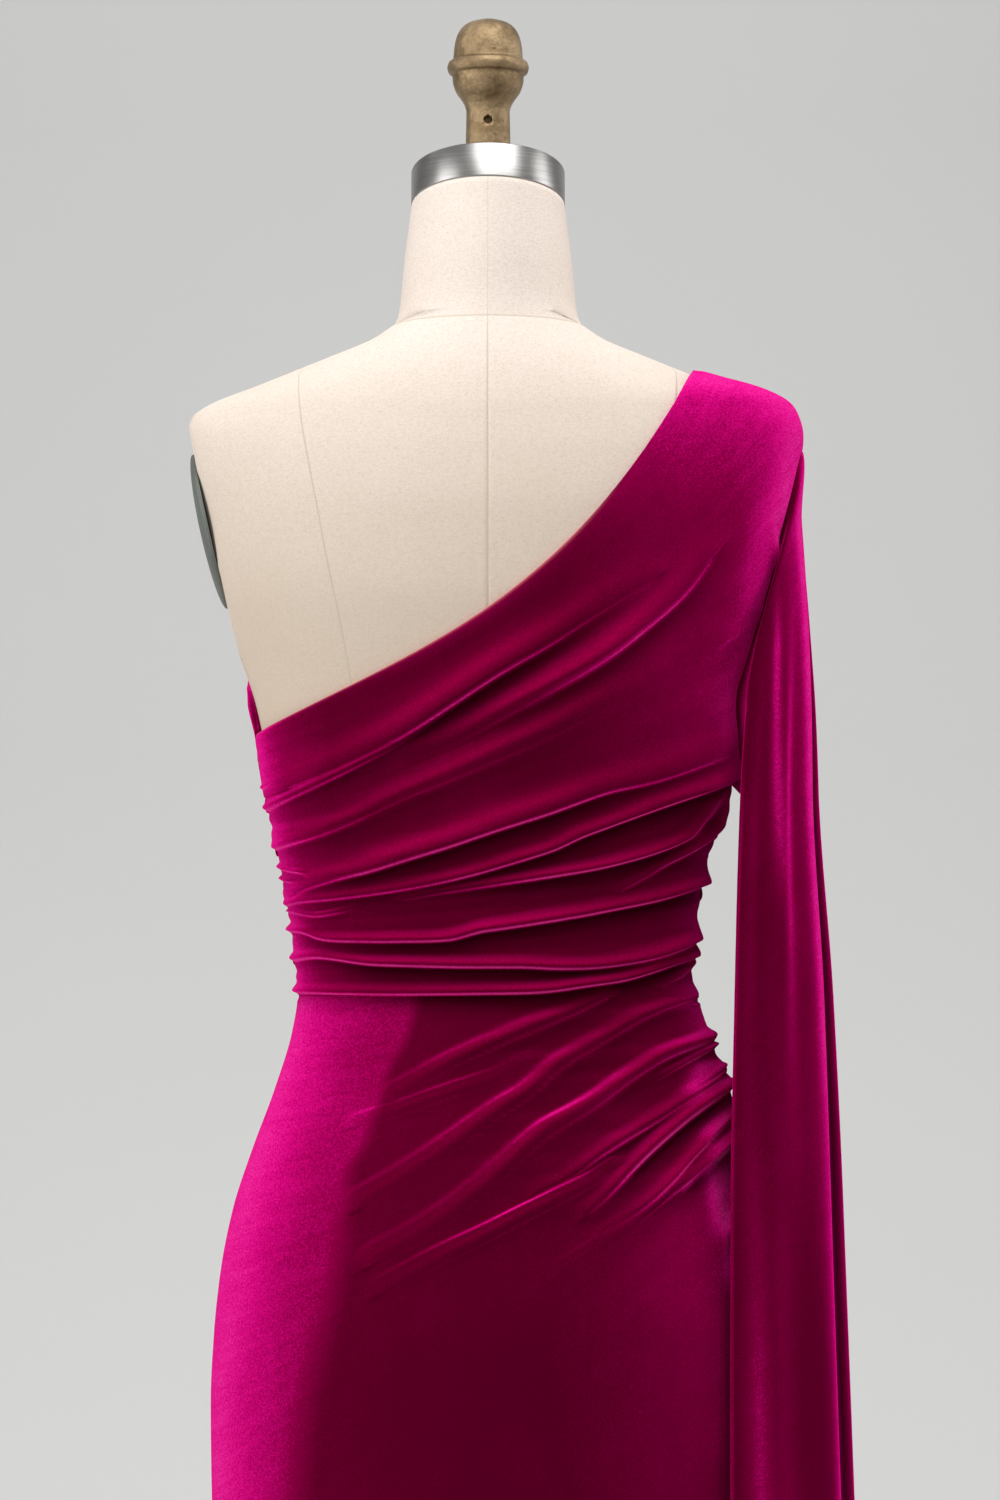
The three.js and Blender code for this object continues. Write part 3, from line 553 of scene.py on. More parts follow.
class Ripples:
    """Faint uneven wrinkles that run along a panel's folds."""

    def __init__(self, seed: int, count: int, along: tuple[float, float],
                 across: tuple[float, float]) -> None:
        """Draws the waves.

        Args:
            seed: fixes the draw.
            count: how many waves are summed.
            along: least and most cycles along the folds.
            across: least and most cycles across them.
        """
        draw = np.random.default_rng(seed)
        self.along = draw.uniform(*along, count)
        self.across = draw.uniform(*across, count)
        self.start = draw.uniform(0, 2 * math.pi, count)
        self.size = 1 / math.sqrt(count)

    def __call__(self, u: np.ndarray, v: np.ndarray) -> np.ndarray:
        """Works out the wrinkles' height, about -1 to 1.

        Args:
            u: places along the folds, 0 to 1.
            v: places across them, 0 to 1.

        Returns:
            The height.
        """
        total = np.zeros_like(u)
        for along, across, start in zip(self.along, self.across, self.start):
            total += np.sin(2 * math.pi * (along * u + across * v) + start)
        return total * self.size


@dataclass(frozen=True)
class Cloth:
    """The velvet's real thickness and the small gaps round it."""

    thick: float = 2.0
    ease: float = 1.3
    seam: float = 0.3
    tuck: float = 1.2
    edge_roll: float = 0.9
    edge_width: float = 3.5


CLOTH = Cloth()


class MeshBuilder:
    """Turns grids of points and simple turned profiles into finished objects."""

    @staticmethod
    def spaced(count: int, near: float = 0.0, far: float = 0.0) -> np.ndarray:
        """Steps from 0 to 1, with closer steps at an end whose edge must be crisp.

        Args:
            count: how many steps.
            near: the share of the length at the start that gets six short steps.
            far: the same at the end.

        Returns:
            The steps, rising.
        """
        fine = np.array([0.12, 0.26, 0.42, 0.6, 0.8, 1.0])
        steps = [np.array([0.0])]
        if near:
            steps.append(near * fine)
        steps.append(np.linspace(near, 1 - far, count + 1)[1:])
        if far:
            steps.append(1 - far * np.append(fine[::-1][1:], 0))
        return np.concatenate(steps)

    @staticmethod
    def grid(name: str, points: np.ndarray, outward: np.ndarray, closed: bool = False,
             capped: bool = False, marks: dict[str, np.ndarray] | None = None) -> bpy.types.Object:
        """Makes an object from rows and columns of points.

        Args:
            name: the object's name.
            points: rows by columns by 3, in millimetres.
            outward: the same shape, pointing out of the cloth, to turn the faces by.
            closed: welds the last column to the first.
            capped: fills the open ends.
            marks: values of 0 to 1 for each point that the materials read, by name.

        Returns:
            The new object, with a UV map that holds each point's column and row as 0 to 1.
        """
        rows, columns = points.shape[:2]
        bm = bmesh.new()
        bmesh.ops.create_grid(bm, x_segments=columns - 1, y_segments=rows - 1, size=0.5)
        uv = bm.loops.layers.uv.new("cloth")
        for face in bm.faces:
            for loop in face.loops:
                loop[uv].uv = (loop.vert.co.x + 0.5, loop.vert.co.y + 0.5)
        bm.verts.ensure_lookup_table()
        across = np.array([v.co.x + 0.5 for v in bm.verts])
        up = np.array([v.co.y + 0.5 for v in bm.verts])
        c = np.rint(across * (columns - 1)).astype(int)
        r = np.rint(up * (rows - 1)).astype(int)
        layers = {key: bm.verts.layers.float.new(key) for key in marks or {}}
        for vert, place in zip(bm.verts, points[r, c] * MM):
            vert.co = place
        for key, layer in layers.items():
            for vert, value in zip(bm.verts, marks[key][r, c]):
                vert[layer] = value
        bm.normal_update()
        middle = bm.verts[int(np.argmin((across - 0.4) ** 2 + (up - 0.5) ** 2))]
        if middle.normal.dot(Vector(outward[rows // 2, int(0.4 * (columns - 1))])) < 0:
            bmesh.ops.reverse_faces(bm, faces=bm.faces)
        if closed:
            bmesh.ops.remove_doubles(bm, verts=bm.verts, dist=1e-6)
        if capped:
            bmesh.ops.holes_fill(bm, edges=[e for e in bm.edges if e.is_boundary], sides=0)
            bmesh.ops.recalc_face_normals(bm, faces=bm.faces)
        for face in bm.faces:
            face.smooth = True
        return MeshBuilder.finished(name, bm)

    @staticmethod
    def finished(name: str, bm: bmesh.types.BMesh) -> bpy.types.Object:
        """Writes a bmesh to a new object in the scene and frees it.

        Args:
            name: the object's name.
            bm: its mesh.

        Returns:
            The object.
        """
        mesh = bpy.data.meshes.new(name)
        bm.to_mesh(mesh)
        bm.free()
        piece = bpy.data.objects.new(name, mesh)
        bpy.context.scene.collection.objects.link(piece)
        return piece

    @staticmethod
    def turned(name: str, profile: Sequence[tuple[float, float]], steps: int,
               place: Matrix = Matrix.Identity(4), sharp: float = 40) -> bpy.types.Object:
        """Spins a profile of (radius, height) in millimetres about Z into a closed body.

        Args:
            name: the object's name.
            profile: from the axis to the axis.
            steps: how many sides the body has.
            place: where it goes, in millimetres.
            sharp: edges that turn more than this many degrees stay sharp.

        Returns:
            The new object.
        """
        bm = bmesh.new()
        verts = [bm.verts.new((radius, 0, height)) for radius, height in profile]
        edges = [bm.edges.new(pair) for pair in zip(verts[:-1], verts[1:])]
        bmesh.ops.spin(bm, geom=verts + edges, cent=(0, 0, 0), axis=(0, 0, 1), dvec=(0, 0, 0),
                       angle=2 * math.pi, steps=steps, use_merge=True, use_duplicate=False)
        bmesh.ops.remove_doubles(bm, verts=bm.verts, dist=1e-4)
        bmesh.ops.transform(bm, matrix=Matrix.Scale(MM, 4) @ place, verts=bm.verts)
        bmesh.ops.recalc_face_normals(bm, faces=bm.faces)
        for face in bm.faces:
            face.smooth = True
        for edge in bm.edges:
            edge.smooth = edge.calc_face_angle(0) < math.radians(sharp)
        return MeshBuilder.finished(name, bm)

    @staticmethod
    def applied(piece: bpy.types.Object) -> bpy.types.Object:
        """Bakes an object's modifiers into its mesh.

        Args:
            piece: the object.

        Returns:
            The same object.
        """
        graph = bpy.context.evaluated_depsgraph_get()
        mesh = bpy.data.meshes.new_from_object(piece.evaluated_get(graph))
        piece.modifiers.clear()
        piece.data = mesh
        return piece


class NodeTree:
    """A short way to lay out one material's nodes."""

    def __init__(self, name: str) -> None:
        """Makes a material with its shader and output in place.

        Args:
            name: the material's name.
        """
        self.material = bpy.data.materials.new(name)
        self.material.use_nodes = True
        self.tree = self.material.node_tree
        self.shader = self.tree.nodes["Principled BSDF"]
        self.where = self.add("ShaderNodeTexCoord").outputs["Object"]

    def add(self, kind: str, **values: object) -> bpy.types.Node:
        """Adds a node and sets its attributes or named inputs.

        Args:
            kind: the node's type.
            values: its attributes and inputs, with _ for each space.

        Returns:
            The node.
        """
        node = self.tree.nodes.new(kind)
        for key, value in values.items():
            if hasattr(node, key):
                setattr(node, key, value)
            else:
                node.inputs[key.replace("_", " ")].default_value = value
        return node

    def link(self, source: bpy.types.NodeSocket, target: bpy.types.NodeSocket) -> None:
        """Joins two sockets."""
        self.tree.links.new(source, target)

    def noise(self, scale: float, detail: float = 2, roughness: float = 0.5,
              stretch: tuple[float, float, float] = (1, 1, 1),
              where: bpy.types.NodeSocket | None = None) -> bpy.types.NodeSocket:
        """Adds a noise.

        Args:
            scale: how fine it is.
            detail: how many finer layers it has.
            roughness: how strong these are.
            stretch: its repeats along each axis, against the scale.
            where: the places it reads, the object's own if none are given.

        Returns:
            The noise, 0 to 1.
        """
        mapping = self.add("ShaderNodeMapping")
        mapping.inputs["Scale"].default_value = stretch
        noise = self.add("ShaderNodeTexNoise", Scale=scale, Detail=detail, Roughness=roughness)
        self.link(self.where if where is None else where, mapping.inputs["Vector"])
        self.link(mapping.outputs["Vector"], noise.inputs["Vector"])
        return noise.outputs["Fac"]

    def streaks(self, stretch: tuple[float, float, float]) -> bpy.types.NodeSocket:
        """Adds a noise that runs along the cloth's own rows."""
        rows = self.add("ShaderNodeUVMap", uv_map="cloth").outputs["UV"]
        return self.noise(1.0, 3, 0.6, stretch, rows)

    def height(self) -> bpy.types.NodeSocket:
        """Reads the height above the floor, in metres.

        Returns:
            The height.
        """
        split = self.add("ShaderNodeSeparateXYZ")
        self.link(self.where, split.inputs["Vector"])
        return split.outputs["Z"]

    def ramp(self, factor: bpy.types.NodeSocket,
             stops: Sequence[tuple[float, tuple[float, float, float]]]) -> bpy.types.NodeSocket:
        """Adds a ramp through several colours.

        Args:
            factor: what it reads, 0 to 1.
            stops: each colour's place and the colour, rising.

        Returns:
            The colour.
        """
        ramp = self.add("ShaderNodeValToRGB")
        elements = ramp.color_ramp.elements
        for place, _ in stops[1:-1]:
            elements.new(place)
        for element, (place, colour) in zip(elements, stops):
            element.position = place
            element.color = (*colour, 1)
        self.link(factor, ramp.inputs["Fac"])
        return ramp.outputs["Color"]

    def blend(self, factor: bpy.types.NodeSocket, low: tuple[float, ...], high: tuple[float, ...],
              start: float = 0.3, end: float = 0.7) -> bpy.types.NodeSocket:
        """Adds a ramp between two colours, low at start and high at end."""
        return self.ramp(factor, ((start, low), (end, high)))

    def tinted(self, colour: bpy.types.NodeSocket, tint: tuple[float, float, float],
               share: bpy.types.NodeSocket) -> bpy.types.NodeSocket:
        """Adds a mix of a colour towards a fixed tint.

        Args:
            colour: the colour to start from.
            tint: what it turns into.
            share: how far, 0 to 1.

        Returns:
            The mixed colour.
        """
        mixed = self.add("ShaderNodeMix", data_type="RGBA")
        self.link(share, mixed.inputs["Factor"])
        self.link(colour, mixed.inputs[6])
        mixed.inputs[7].default_value = (*tint, 1)
        return mixed.outputs[2]

    def mark(self, name: str) -> bpy.types.NodeSocket:
        """Reads one of the piece's own marks."""
        return self.add("ShaderNodeAttribute", attribute_name=name).outputs["Fac"]

    def math(self, operation: str, *values: bpy.types.NodeSocket | float) -> bpy.types.NodeSocket:
        """Adds one sum of sockets and plain numbers.

        Args:
            operation: the kind of sum.
            values: what it takes, in order.

        Returns:
            The result.
        """
        node = self.add("ShaderNodeMath", operation=operation)
        for socket, value in zip(node.inputs, values):
            if isinstance(value, bpy.types.NodeSocket):
                self.link(value, socket)
            else:
                socket.default_value = value
        return node.outputs["Value"]

    def bump(self, height: bpy.types.NodeSocket, depth: float, strength: float = 1,
             under: bpy.types.NodeSocket | None = None) -> bpy.types.NodeSocket:
        """Adds a bump of a real depth in metres, on top of another if one is given.

        Args:
            height: what it reads, 0 to 1.
            depth: how deep it is.
            strength: how far it shows.
            under: the normal below it.

        Returns:
            The normal.
        """
        bump = self.add("ShaderNodeBump", Strength=strength, Distance=depth)
        self.link(height, bump.inputs["Height"])
        if under is not None:
            self.link(under, bump.inputs["Normal"])
        return bump.outputs["Normal"]

    def finished(self, colour: bpy.types.NodeSocket, normal: bpy.types.NodeSocket | None = None,
                 **values: object) -> bpy.types.Material:
        """Joins up the shader.

        Args:
            colour: its base colour.
            normal: its bumps, if it has any.
            values: its plain inputs by name, with _ for each space.

        Returns:
            The material.
        """
        self.link(colour, self.shader.inputs["Base Color"])
        if normal is not None:
            self.link(normal, self.shader.inputs["Normal"])
        for key, value in values.items():
            self.shader.inputs[key.replace("_", " ")].default_value = value
        return self.material


@dataclass(frozen=True)
class Velvet:
    """Stretch velvet: dark seen straight on, bright where its pile is seen from the side."""

    name: str = "magenta_velvet"
    shades: tuple[tuple[float, tuple[float, float, float]], ...] = (
        (0.0, (0.105, 0.0, 0.017)),
        (0.3, (0.26, 0.0, 0.056)),
        (0.62, (0.68, 0.003, 0.21)),
        (0.85, (0.8, 0.02, 0.3)),
        (1.0, (0.86, 0.07, 0.38)),
    )
    # Painted highlight on the rolls, painted shade in the creases, painted highlight along the back
    # neckline.
    roll_highlight_colour: tuple[float, float, float] = (0.46, 0.0, 0.075)
    deep: tuple[float, float, float] = (0.012, 0.0, 0.002)
    neckline_highlight: tuple[float, float, float] = (0.8, 0.15, 0.2)
    most: float = 0.76
    glow: tuple[float, float, float] = (1.0, 0.0, 0.3)
    turn_power: float = 1.8
    turn_gain: float = 1.0
    # How strongly the painted sheen, the edges' painted highlights and the rolls' painted highlights
    # show.
    painted_sheen_gain: float = 0.5
    edge_gain: float = 0.62
    roll_highlight_gain: float = 0.32
    grain_gain: float = 0.9
    cloud_gain: float = 0.14
    streak_gain: float = 0.28
    crease_shade: float = 0.9
    sheen: float = 0.35
    sheen_roughness: float = 0.4
    rough: float = 0.85

    def pile(self, nodes: NodeTree) -> bpy.types.NodeSocket:
        """Adds the pile's fine bumps over its brushed ones.

        Args:
            nodes: the velvet's nodes.

        Returns:
            The normal.
        """
        brushed = nodes.bump(nodes.noise(240, 3, 0.6, (1, 1, 0.35)), 0.0004, 0.3)
        return nodes.bump(nodes.noise(1500, 2, 0.6), 0.0003, 0.5, brushed)

    def shade(self, nodes: NodeTree, pile: bpy.types.NodeSocket,
              grain: bpy.types.NodeSocket) -> bpy.types.NodeSocket:
        """Adds how bright the pile looks: its turn from the view, painted sheen, painted edge highlights.

        Args:
            nodes: the velvet's nodes.
            pile: the normal.
            grain: a fine noise about 0.

        Returns:
            The brightness, about 0 to 1.
        """
        weight = nodes.add("ShaderNodeLayerWeight", Blend=0.5)
        nodes.link(pile, weight.inputs["Normal"])
        turned = nodes.math("POWER", weight.outputs["Facing"], self.turn_power)
        shade = nodes.math("MULTIPLY", turned, self.turn_gain)
        # Painted sheen from the marks, softly capped.
        shade = nodes.math("MULTIPLY_ADD", nodes.mark("painted_sheen"), self.painted_sheen_gain, shade)
        shade = nodes.math("SMOOTH_MIN", shade, self.most, 0.25)
        # Painted highlight along the folds' lower edges.
        shade = nodes.math("MULTIPLY_ADD", nodes.mark("edge"), self.edge_gain, shade)
        lit = nodes.math("MULTIPLY", grain, nodes.math("ADD", shade, 0.18))
        shade = nodes.math("MULTIPLY_ADD", lit, self.grain_gain, shade)
        cloud = nodes.math("SUBTRACT", nodes.noise(26, 4, 0.6, (1, 1, 0.5)), 0.5)
        shade = nodes.math("MULTIPLY_ADD", cloud, self.cloud_gain, shade)
        streak = nodes.math("SUBTRACT", nodes.streaks((5, 75, 1)), 0.5)
        lit = nodes.math("MULTIPLY", streak, nodes.math("ADD", shade, 0.2))
        return nodes.math("MULTIPLY_ADD", lit, self.streak_gain, shade)

    def material(self) -> bpy.types.Material:
        """Builds the velvet's nodes.

        Returns:
            The material.
        """
        nodes = NodeTree(self.name)
        pile = self.pile(nodes)
        grain = nodes.math("SUBTRACT", nodes.noise(900, 1, 0.5), 0.5)
        speckled = nodes.math("MULTIPLY_ADD", grain, 1.6, 1.0)
        # Painted highlight on the rolls' upper slopes, flecked by the grain.
        roll_lit = nodes.math("MULTIPLY", nodes.mark("roll"), self.roll_highlight_gain)
        rolled = nodes.math("MULTIPLY", roll_lit, speckled)
        # Painted shade in the creases of the folds and along the sleeve's lines.
        dark = nodes.math("MULTIPLY", nodes.mark("crease"), self.crease_shade)
        colour = nodes.ramp(self.shade(nodes, pile, grain), self.shades)
        # Mixes in the painted highlight on the rolls, the painted shade in the creases and the painted
        # highlight along the neckline.
        tints = ((self.roll_highlight_colour, rolled), (self.deep, dark), (self.neckline_highlight, nodes.mark("neckline_highlight")))
        for tint, share in tints:
            colour = nodes.tinted(colour, tint, share)
        return nodes.finished(colour, pile, Roughness=self.rough, Sheen_Weight=self.sheen,
                              Sheen_Roughness=self.sheen_roughness, Sheen_Tint=(*self.glow, 1),
                              Specular_IOR_Level=0.0)


@dataclass(frozen=True)
class Backing:
    """The velvet's knitted wrong side."""

    name: str = "velvet_backing"
    dark: tuple[float, float, float] = (0.24, 0.001, 0.075)
    light: tuple[float, float, float] = (0.36, 0.003, 0.125)

    def material(self) -> bpy.types.Material:
        """Builds the backing's nodes.

        Returns:
            The material.
        """
        nodes = NodeTree(self.name)
        rib = nodes.noise(900, 1, 0.4, (1, 1, 0.2))
        return nodes.finished(nodes.blend(rib, self.dark, self.light), nodes.bump(rib, 0.0003, 0.6),
                              Roughness=0.9)


@dataclass(frozen=True)
class Linen:
    """The form's fine cream linen, darker in its sewn seams."""

    name: str = "cream_linen"
    pale: tuple[float, float, float] = (0.835, 0.735, 0.66)
    # Painted shade: the colour the linen darkens to towards the bottom.
    low_shade: tuple[float, float, float] = (0.62, 0.5, 0.375)
    thread: tuple[float, float, float] = (0.56, 0.45, 0.35)
    seam: tuple[float, float, float] = (0.58, 0.48, 0.38)
    threads: float = 1000
    thread_gain: float = 1.2
    thread_from: float = -0.94
    # Where the painted shade starts and over what height it deepens.
    shade_from: float = 1.47
    shade_over: float = 0.4

    def material(self) -> bpy.types.Material:
        """Builds the linen's nodes.

        Returns:
            The material.
        """
        nodes = NodeTree(self.name)
        weave = nodes.noise(self.threads, 1, 0.5, (1, 1, 2.2))
        warp = nodes.noise(self.threads, 1, 0.5, (2.2, 1, 1))
        slub = nodes.noise(160, 3, 0.6, (0.25, 1, 3))
        # Painted shade: the linen goes darker and warmer towards the bottom, broken by a soft mottle.
        low = nodes.math("MULTIPLY_ADD", nodes.height(), -1 / self.shade_over,
                         self.shade_from / self.shade_over)
        tone = nodes.math("MULTIPLY_ADD", nodes.noise(9, 5, 0.6), 0.35, low)
        ground = nodes.blend(tone, self.pale, self.low_shade, 0.1, 0.95)
        coarse = nodes.noise(420, 2, 0.6, (1, 1, 2))
        woven = nodes.math("MULTIPLY_ADD", coarse, 0.8, weave)
        shown = nodes.math("MULTIPLY_ADD", woven, self.thread_gain, self.thread_from)
        mottle = nodes.tinted(ground, self.thread, shown)
        stitched = nodes.tinted(mottle, self.seam, nodes.mark("seam"))
        normal = None
        threads = ((weave, 0.00025, 0.5), (warp, 0.00025, 0.5), (slub, 0.0003, 0.25))
        for thread, depth, strength in threads:
            normal = nodes.bump(thread, depth, strength, normal)
        return nodes.finished(stitched, normal, Roughness=0.92, Specular_IOR_Level=0.2)


@dataclass(frozen=True)
class BrushedSteel:
    """Steel brushed round the neck cap."""

    name: str = "brushed_steel"
    dull: tuple[float, float, float] = (0.24, 0.23, 0.22)
    bright: tuple[float, float, float] = (0.46, 0.45, 0.44)

    def material(self) -> bpy.types.Material:
        """Builds the steel's nodes.

        Returns:
            The material.
        """
        nodes = NodeTree(self.name)
        streak = nodes.noise(60, 4, 0.7, (0.4, 0.4, 30))
        colour = nodes.blend(streak, self.dull, self.bright, 0.25, 0.75)
        return nodes.finished(colour, nodes.bump(streak, 0.0001, 0.4), Metallic=1, Roughness=0.3)


@dataclass(frozen=True)
class HammeredBronze:
    """Rough cast metal under bronze paint."""

    name: str = "hammered_bronze"
    dark: tuple[float, float, float] = (0.13, 0.078, 0.032)
    gold: tuple[float, float, float] = (0.42, 0.3, 0.17)

    def material(self) -> bpy.types.Material:
        """Builds the bronze's nodes.

        Returns:
            The material.
        """
        nodes = NodeTree(self.name)
        patina = nodes.noise(60, 8, 0.72)
        rough = nodes.bump(patina, 0.001, 0.4)
        grain = nodes.bump(nodes.noise(330, 5, 0.7), 0.0009, 0.9, rough)
        colour = nodes.blend(patina, self.dark, self.gold, 0.3, 0.62)
        return nodes.finished(colour, grain, Metallic=0.85, Roughness=0.42)


@dataclass(frozen=True)
class Painted:
    """Plain paint on metal, with a faint orange-peel surface."""

    name: str
    colour: tuple[float, float, float]
    rough: float
    metal: float

    def material(self) -> bpy.types.Material:
        """Builds the paint's nodes.

        Returns:
            The material.
        """
        nodes = NodeTree(self.name)
        lighter = tuple(min(1.0, 1.35 * value + 0.01) for value in self.colour)
        colour = nodes.blend(nodes.noise(30, 4, 0.6), self.colour, lighter)
        peel = nodes.bump(nodes.noise(500, 3, 0.5), 0.0003, 0.5)
        return nodes.finished(colour, peel, Metallic=self.metal, Roughness=self.rough)


@dataclass(frozen=True)
class FloorPaint:
    """The studio's pale floor and wall, with painted light lower down, clear when seen from behind."""

    name: str = "pale_studio"
    low: tuple[float, float, float] = (0.73, 0.73, 0.72)
    high: tuple[float, float, float] = (0.55, 0.55, 0.545)
    tall: float = 2.4

    def material(self) -> bpy.types.Material:
        """Builds the floor's nodes.

        Returns:
            The material.
        """
        nodes = NodeTree(self.name)
        # Painted light: the floor and wall are lighter low down and darker higher up.
        tone = nodes.math("MULTIPLY", nodes.height(), 1 / self.tall)
        tone = nodes.math("MULTIPLY_ADD", nodes.noise(1.5, 2, 0.5), 0.08, tone)
        clear = nodes.add("ShaderNodeBsdfTransparent").outputs["BSDF"]
        seen = nodes.add("ShaderNodeMixShader")
        nodes.link(nodes.add("ShaderNodeNewGeometry").outputs["Backfacing"], seen.inputs["Fac"])
        nodes.link(nodes.shader.outputs["BSDF"], seen.inputs[1])
        nodes.link(clear, seen.inputs[2])
        nodes.link(seen.outputs["Shader"], nodes.tree.nodes["Material Output"].inputs["Surface"])
        return nodes.finished(nodes.blend(tone, self.low, self.high, 0.1, 1.0), Roughness=0.95,
                              Specular_IOR_Level=0.1)


class Finishes:
    """Every material of the part, made once."""

    def __init__(self) -> None:
        """Builds each finish."""
        self.velvet = Velvet().material()
        self.backing = Backing().material()
        self.linen = Linen().material()
        self.steel = BrushedSteel().material()
        self.bronze = HammeredBronze().material()
        self.plate = Painted("grey_plate_paint", (0.11, 0.12, 0.105), 0.55, 0.2).material()
        self.iron = Painted("black_enamel", (0.012, 0.012, 0.013), 0.35, 0.3).material()
        self.pole = Painted("black_pole_enamel", (0.015, 0.015, 0.016), 0.28, 0.5).material()


@dataclass(frozen=True)
class FlatCut:
    """The size a panel was cut to: width and length in metres, and its area if not a rectangle."""

    width: float
    length: float
    area: float | None = None


def dress(piece: bpy.types.Object, node: str, slot: str, *materials: bpy.types.Material) -> None:
    """Gives a piece its materials, hangs it on the body, hides the solid it stands for and reports it.

    Args:
        piece: the finished piece.
        node: the solid it stands for.
        slot: not used.
        materials: what it is made of, if it doesn't have it yet.
    """
    for material in materials:
        piece.data.materials.append(material)
    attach(piece, BODY)
    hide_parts(node)
    LOG.info("%s: %d faces", piece.name, len(piece.data.polygons))


def dress_cloth(piece: bpy.types.Object, finishes: Finishes, node: str) -> None:
    """Args:
        piece: the panel's outer face.
        finishes: the part's materials.
        node: the solid it stands for.
    """
    piece.data.materials.append(finishes.velvet)
    piece.data.materials.append(finishes.backing)
    wall = piece.modifiers.new("velvet wall", "SOLIDIFY")
    wall.thickness = CLOTH.thick * MM
    wall.offset = -1
    wall.material_offset = 1
    MeshBuilder.applied(piece)
    dress(piece, node, "velvet")


@dataclass
class Bodice:
    """The ruched bodice: a back and a front panel whose rows fan out as the pleats do."""

    figure: Figure
    finishes: Finishes
    waist: float = WAIST
    underarm: float = 1195
    tip: float = 1408
    neck: float = 1452
    left_top: tuple[float, float] = (1224.5, 1264)
    corner: float = 20
    wrap: float = 10
    armhole: tuple[float, float] = (36, 42)
    waist_straight: float = 0.2
    neck_straight: float = 0.535
    bend: float = 3.76
    shares: tuple[float, float, float] = (20, 12, 5)
    columns: int = 96
    rows: tuple[int, int] = (400, 260)
    # How strong the painted sheen is near the left seam, on the shoulder, on the chest and under the
    # neckline.
    sheen_left: float = 0.18
    sheen_shoulder: float = 0.57
    sheen_chest: float = 0.32
    sheen_neckline: float = 0.34
    # How strong the painted highlight along the back neckline's turned edge is.
    neckline_highlight: float = 0.7
    cut: FlatCut = FlatCut(0.42, 0.44, 0.105)

    def armhole_edge(self, side: Side, turn: np.ndarray) -> tuple[np.ndarray, np.ndarray]:
        """Follows the armhole's edge, from 0 at its top to 1 below.

        Args:
            side: the back or the front.
            turn: places down the edge.

        Returns:
            The places across and the heights.
        """
        middle, half_tall = (self.underarm + self.tip) / 2, (self.tip - self.underarm) / 2
        z = middle + half_tall * np.cos(np.pi * turn)
        reach = side.of(self.armhole) * np.sin(np.pi * turn)
        power = self.figure.power(z)
        inside = np.clip(1 - (reach / self.figure.depth(side, z)) ** power, 0, 1)
        return self.figure.half(z) * inside ** (1 / power), z

    def right_edge(self, side: Side, v: np.ndarray) -> tuple[np.ndarray, np.ndarray]:
        """Goes up the side seam, round the armhole and along the shoulder.

        Args:
            side: the back or the front.
            v: places up the edge, 0 to 1.

        Returns:
            The places across and the heights.
        """
        seam, hole, shoulder = self.shares
        step = v * sum(self.shares)
        seam_z = mix(self.waist + CLOTH.seam / 2, self.underarm, step / seam)
        hole_x, hole_z = self.armhole_edge(side, np.clip(1 - (step - seam) / hole, 0, 1))
        top = np.clip((step - seam - hole) / shoulder, 0, 1)
        top_z = mix(self.tip, self.neck, top**0.7)
        z = np.where(step <= seam, seam_z, np.where(step <= seam + hole, hole_z, top_z))
        plain = self.figure.half(z)
        x = np.where((step > seam) & (step <= seam + hole), hole_x, plain)
        return x, z

    def row_ends(self, side: Side, v: np.ndarray) -> tuple[np.ndarray, np.ndarray, np.ndarray]:
        """Returns where rows start at the left side seam, as z, and end at the right, as x and z."""
        start = mix(self.waist + CLOTH.seam / 2, side.of(self.left_top), v)
        return start, *self.right_edge(side, v)

    def layout(self, side: Side, u: np.ndarray, v: np.ndarray) -> tuple[np.ndarray, np.ndarray]:
        """Fans the panel's rows out from the left side seam.

        Args:
            side: the back or the front.
            u: places along each row, 0 to 1.
            v: each row's place from the waist at 0 to the top edge at 1.

        Returns:
            The places across and the heights.
        """
        start_z, end_x, end_z = self.row_ends(side, v)
        start_x = -self.figure.half(start_z)
        straight = mix(self.waist_straight, self.neck_straight, v)
        s = (1 - np.cos(np.pi * u)) / 2
        z = start_z + (end_z - start_z) * (straight * s + (1 - straight) * s**self.bend)
        half = self.figure.half(z)
        x = np.clip(start_x + (end_x - start_x) * s, -half, half)
        return self.rounded(x, z, v) if side is Side.FRONT else (x, z)

    def marks(self, side: Side, point: np.ndarray, v: np.ndarray,
              relief: Relief) -> dict[str, np.ndarray]:
        """Works out the painted sheen, highlights and shade that the velvet reads.

        Args:
            side: the back or the front.
            point: points of the plain surface.
            v: each row's place from the waist at 0 to the top edge at 1.
            relief: what the folds do there.

        Returns:
            The marks that the velvet reads, by name.
        """
        x, z = point[..., 0], point[..., 2]
        start_z, _, end_z = self.row_ends(side, v)
        down = (1 - v) * (end_z - start_z + 200)
        half = self.figure.half(z)
        # Painted sheen where light falls: by the left seam, on the shoulder and chest, under the neckline
        # and in patches.
        painted_sheen = (
            self.sheen_left * smooth((-x - 0.62 * half) / (0.38 * half))
            + self.sheen_shoulder * smooth((z - 1335) / 110)
            + self.sheen_chest * smooth((x - 30) / 90) * smooth((z - 1170) / 60)
            + self.sheen_neckline * np.exp(-((down / 9) ** 2) - ((x + 8) / 55) ** 2)
            + sum(patch(point) for patch in BODICE_SHEEN)
        )
        # Painted highlight along the back neckline's turned edge.
        turned = np.exp(-((down / 1.1) ** 2)) * smooth((85 - x) / 40) * (side is Side.BACK)
        return {
            "painted_sheen": painted_sheen,
            "edge": relief.edge,
            "neckline_highlight": self.neckline_highlight * turned,
            "crease": relief.crease,
            "roll": relief.roll,
        }

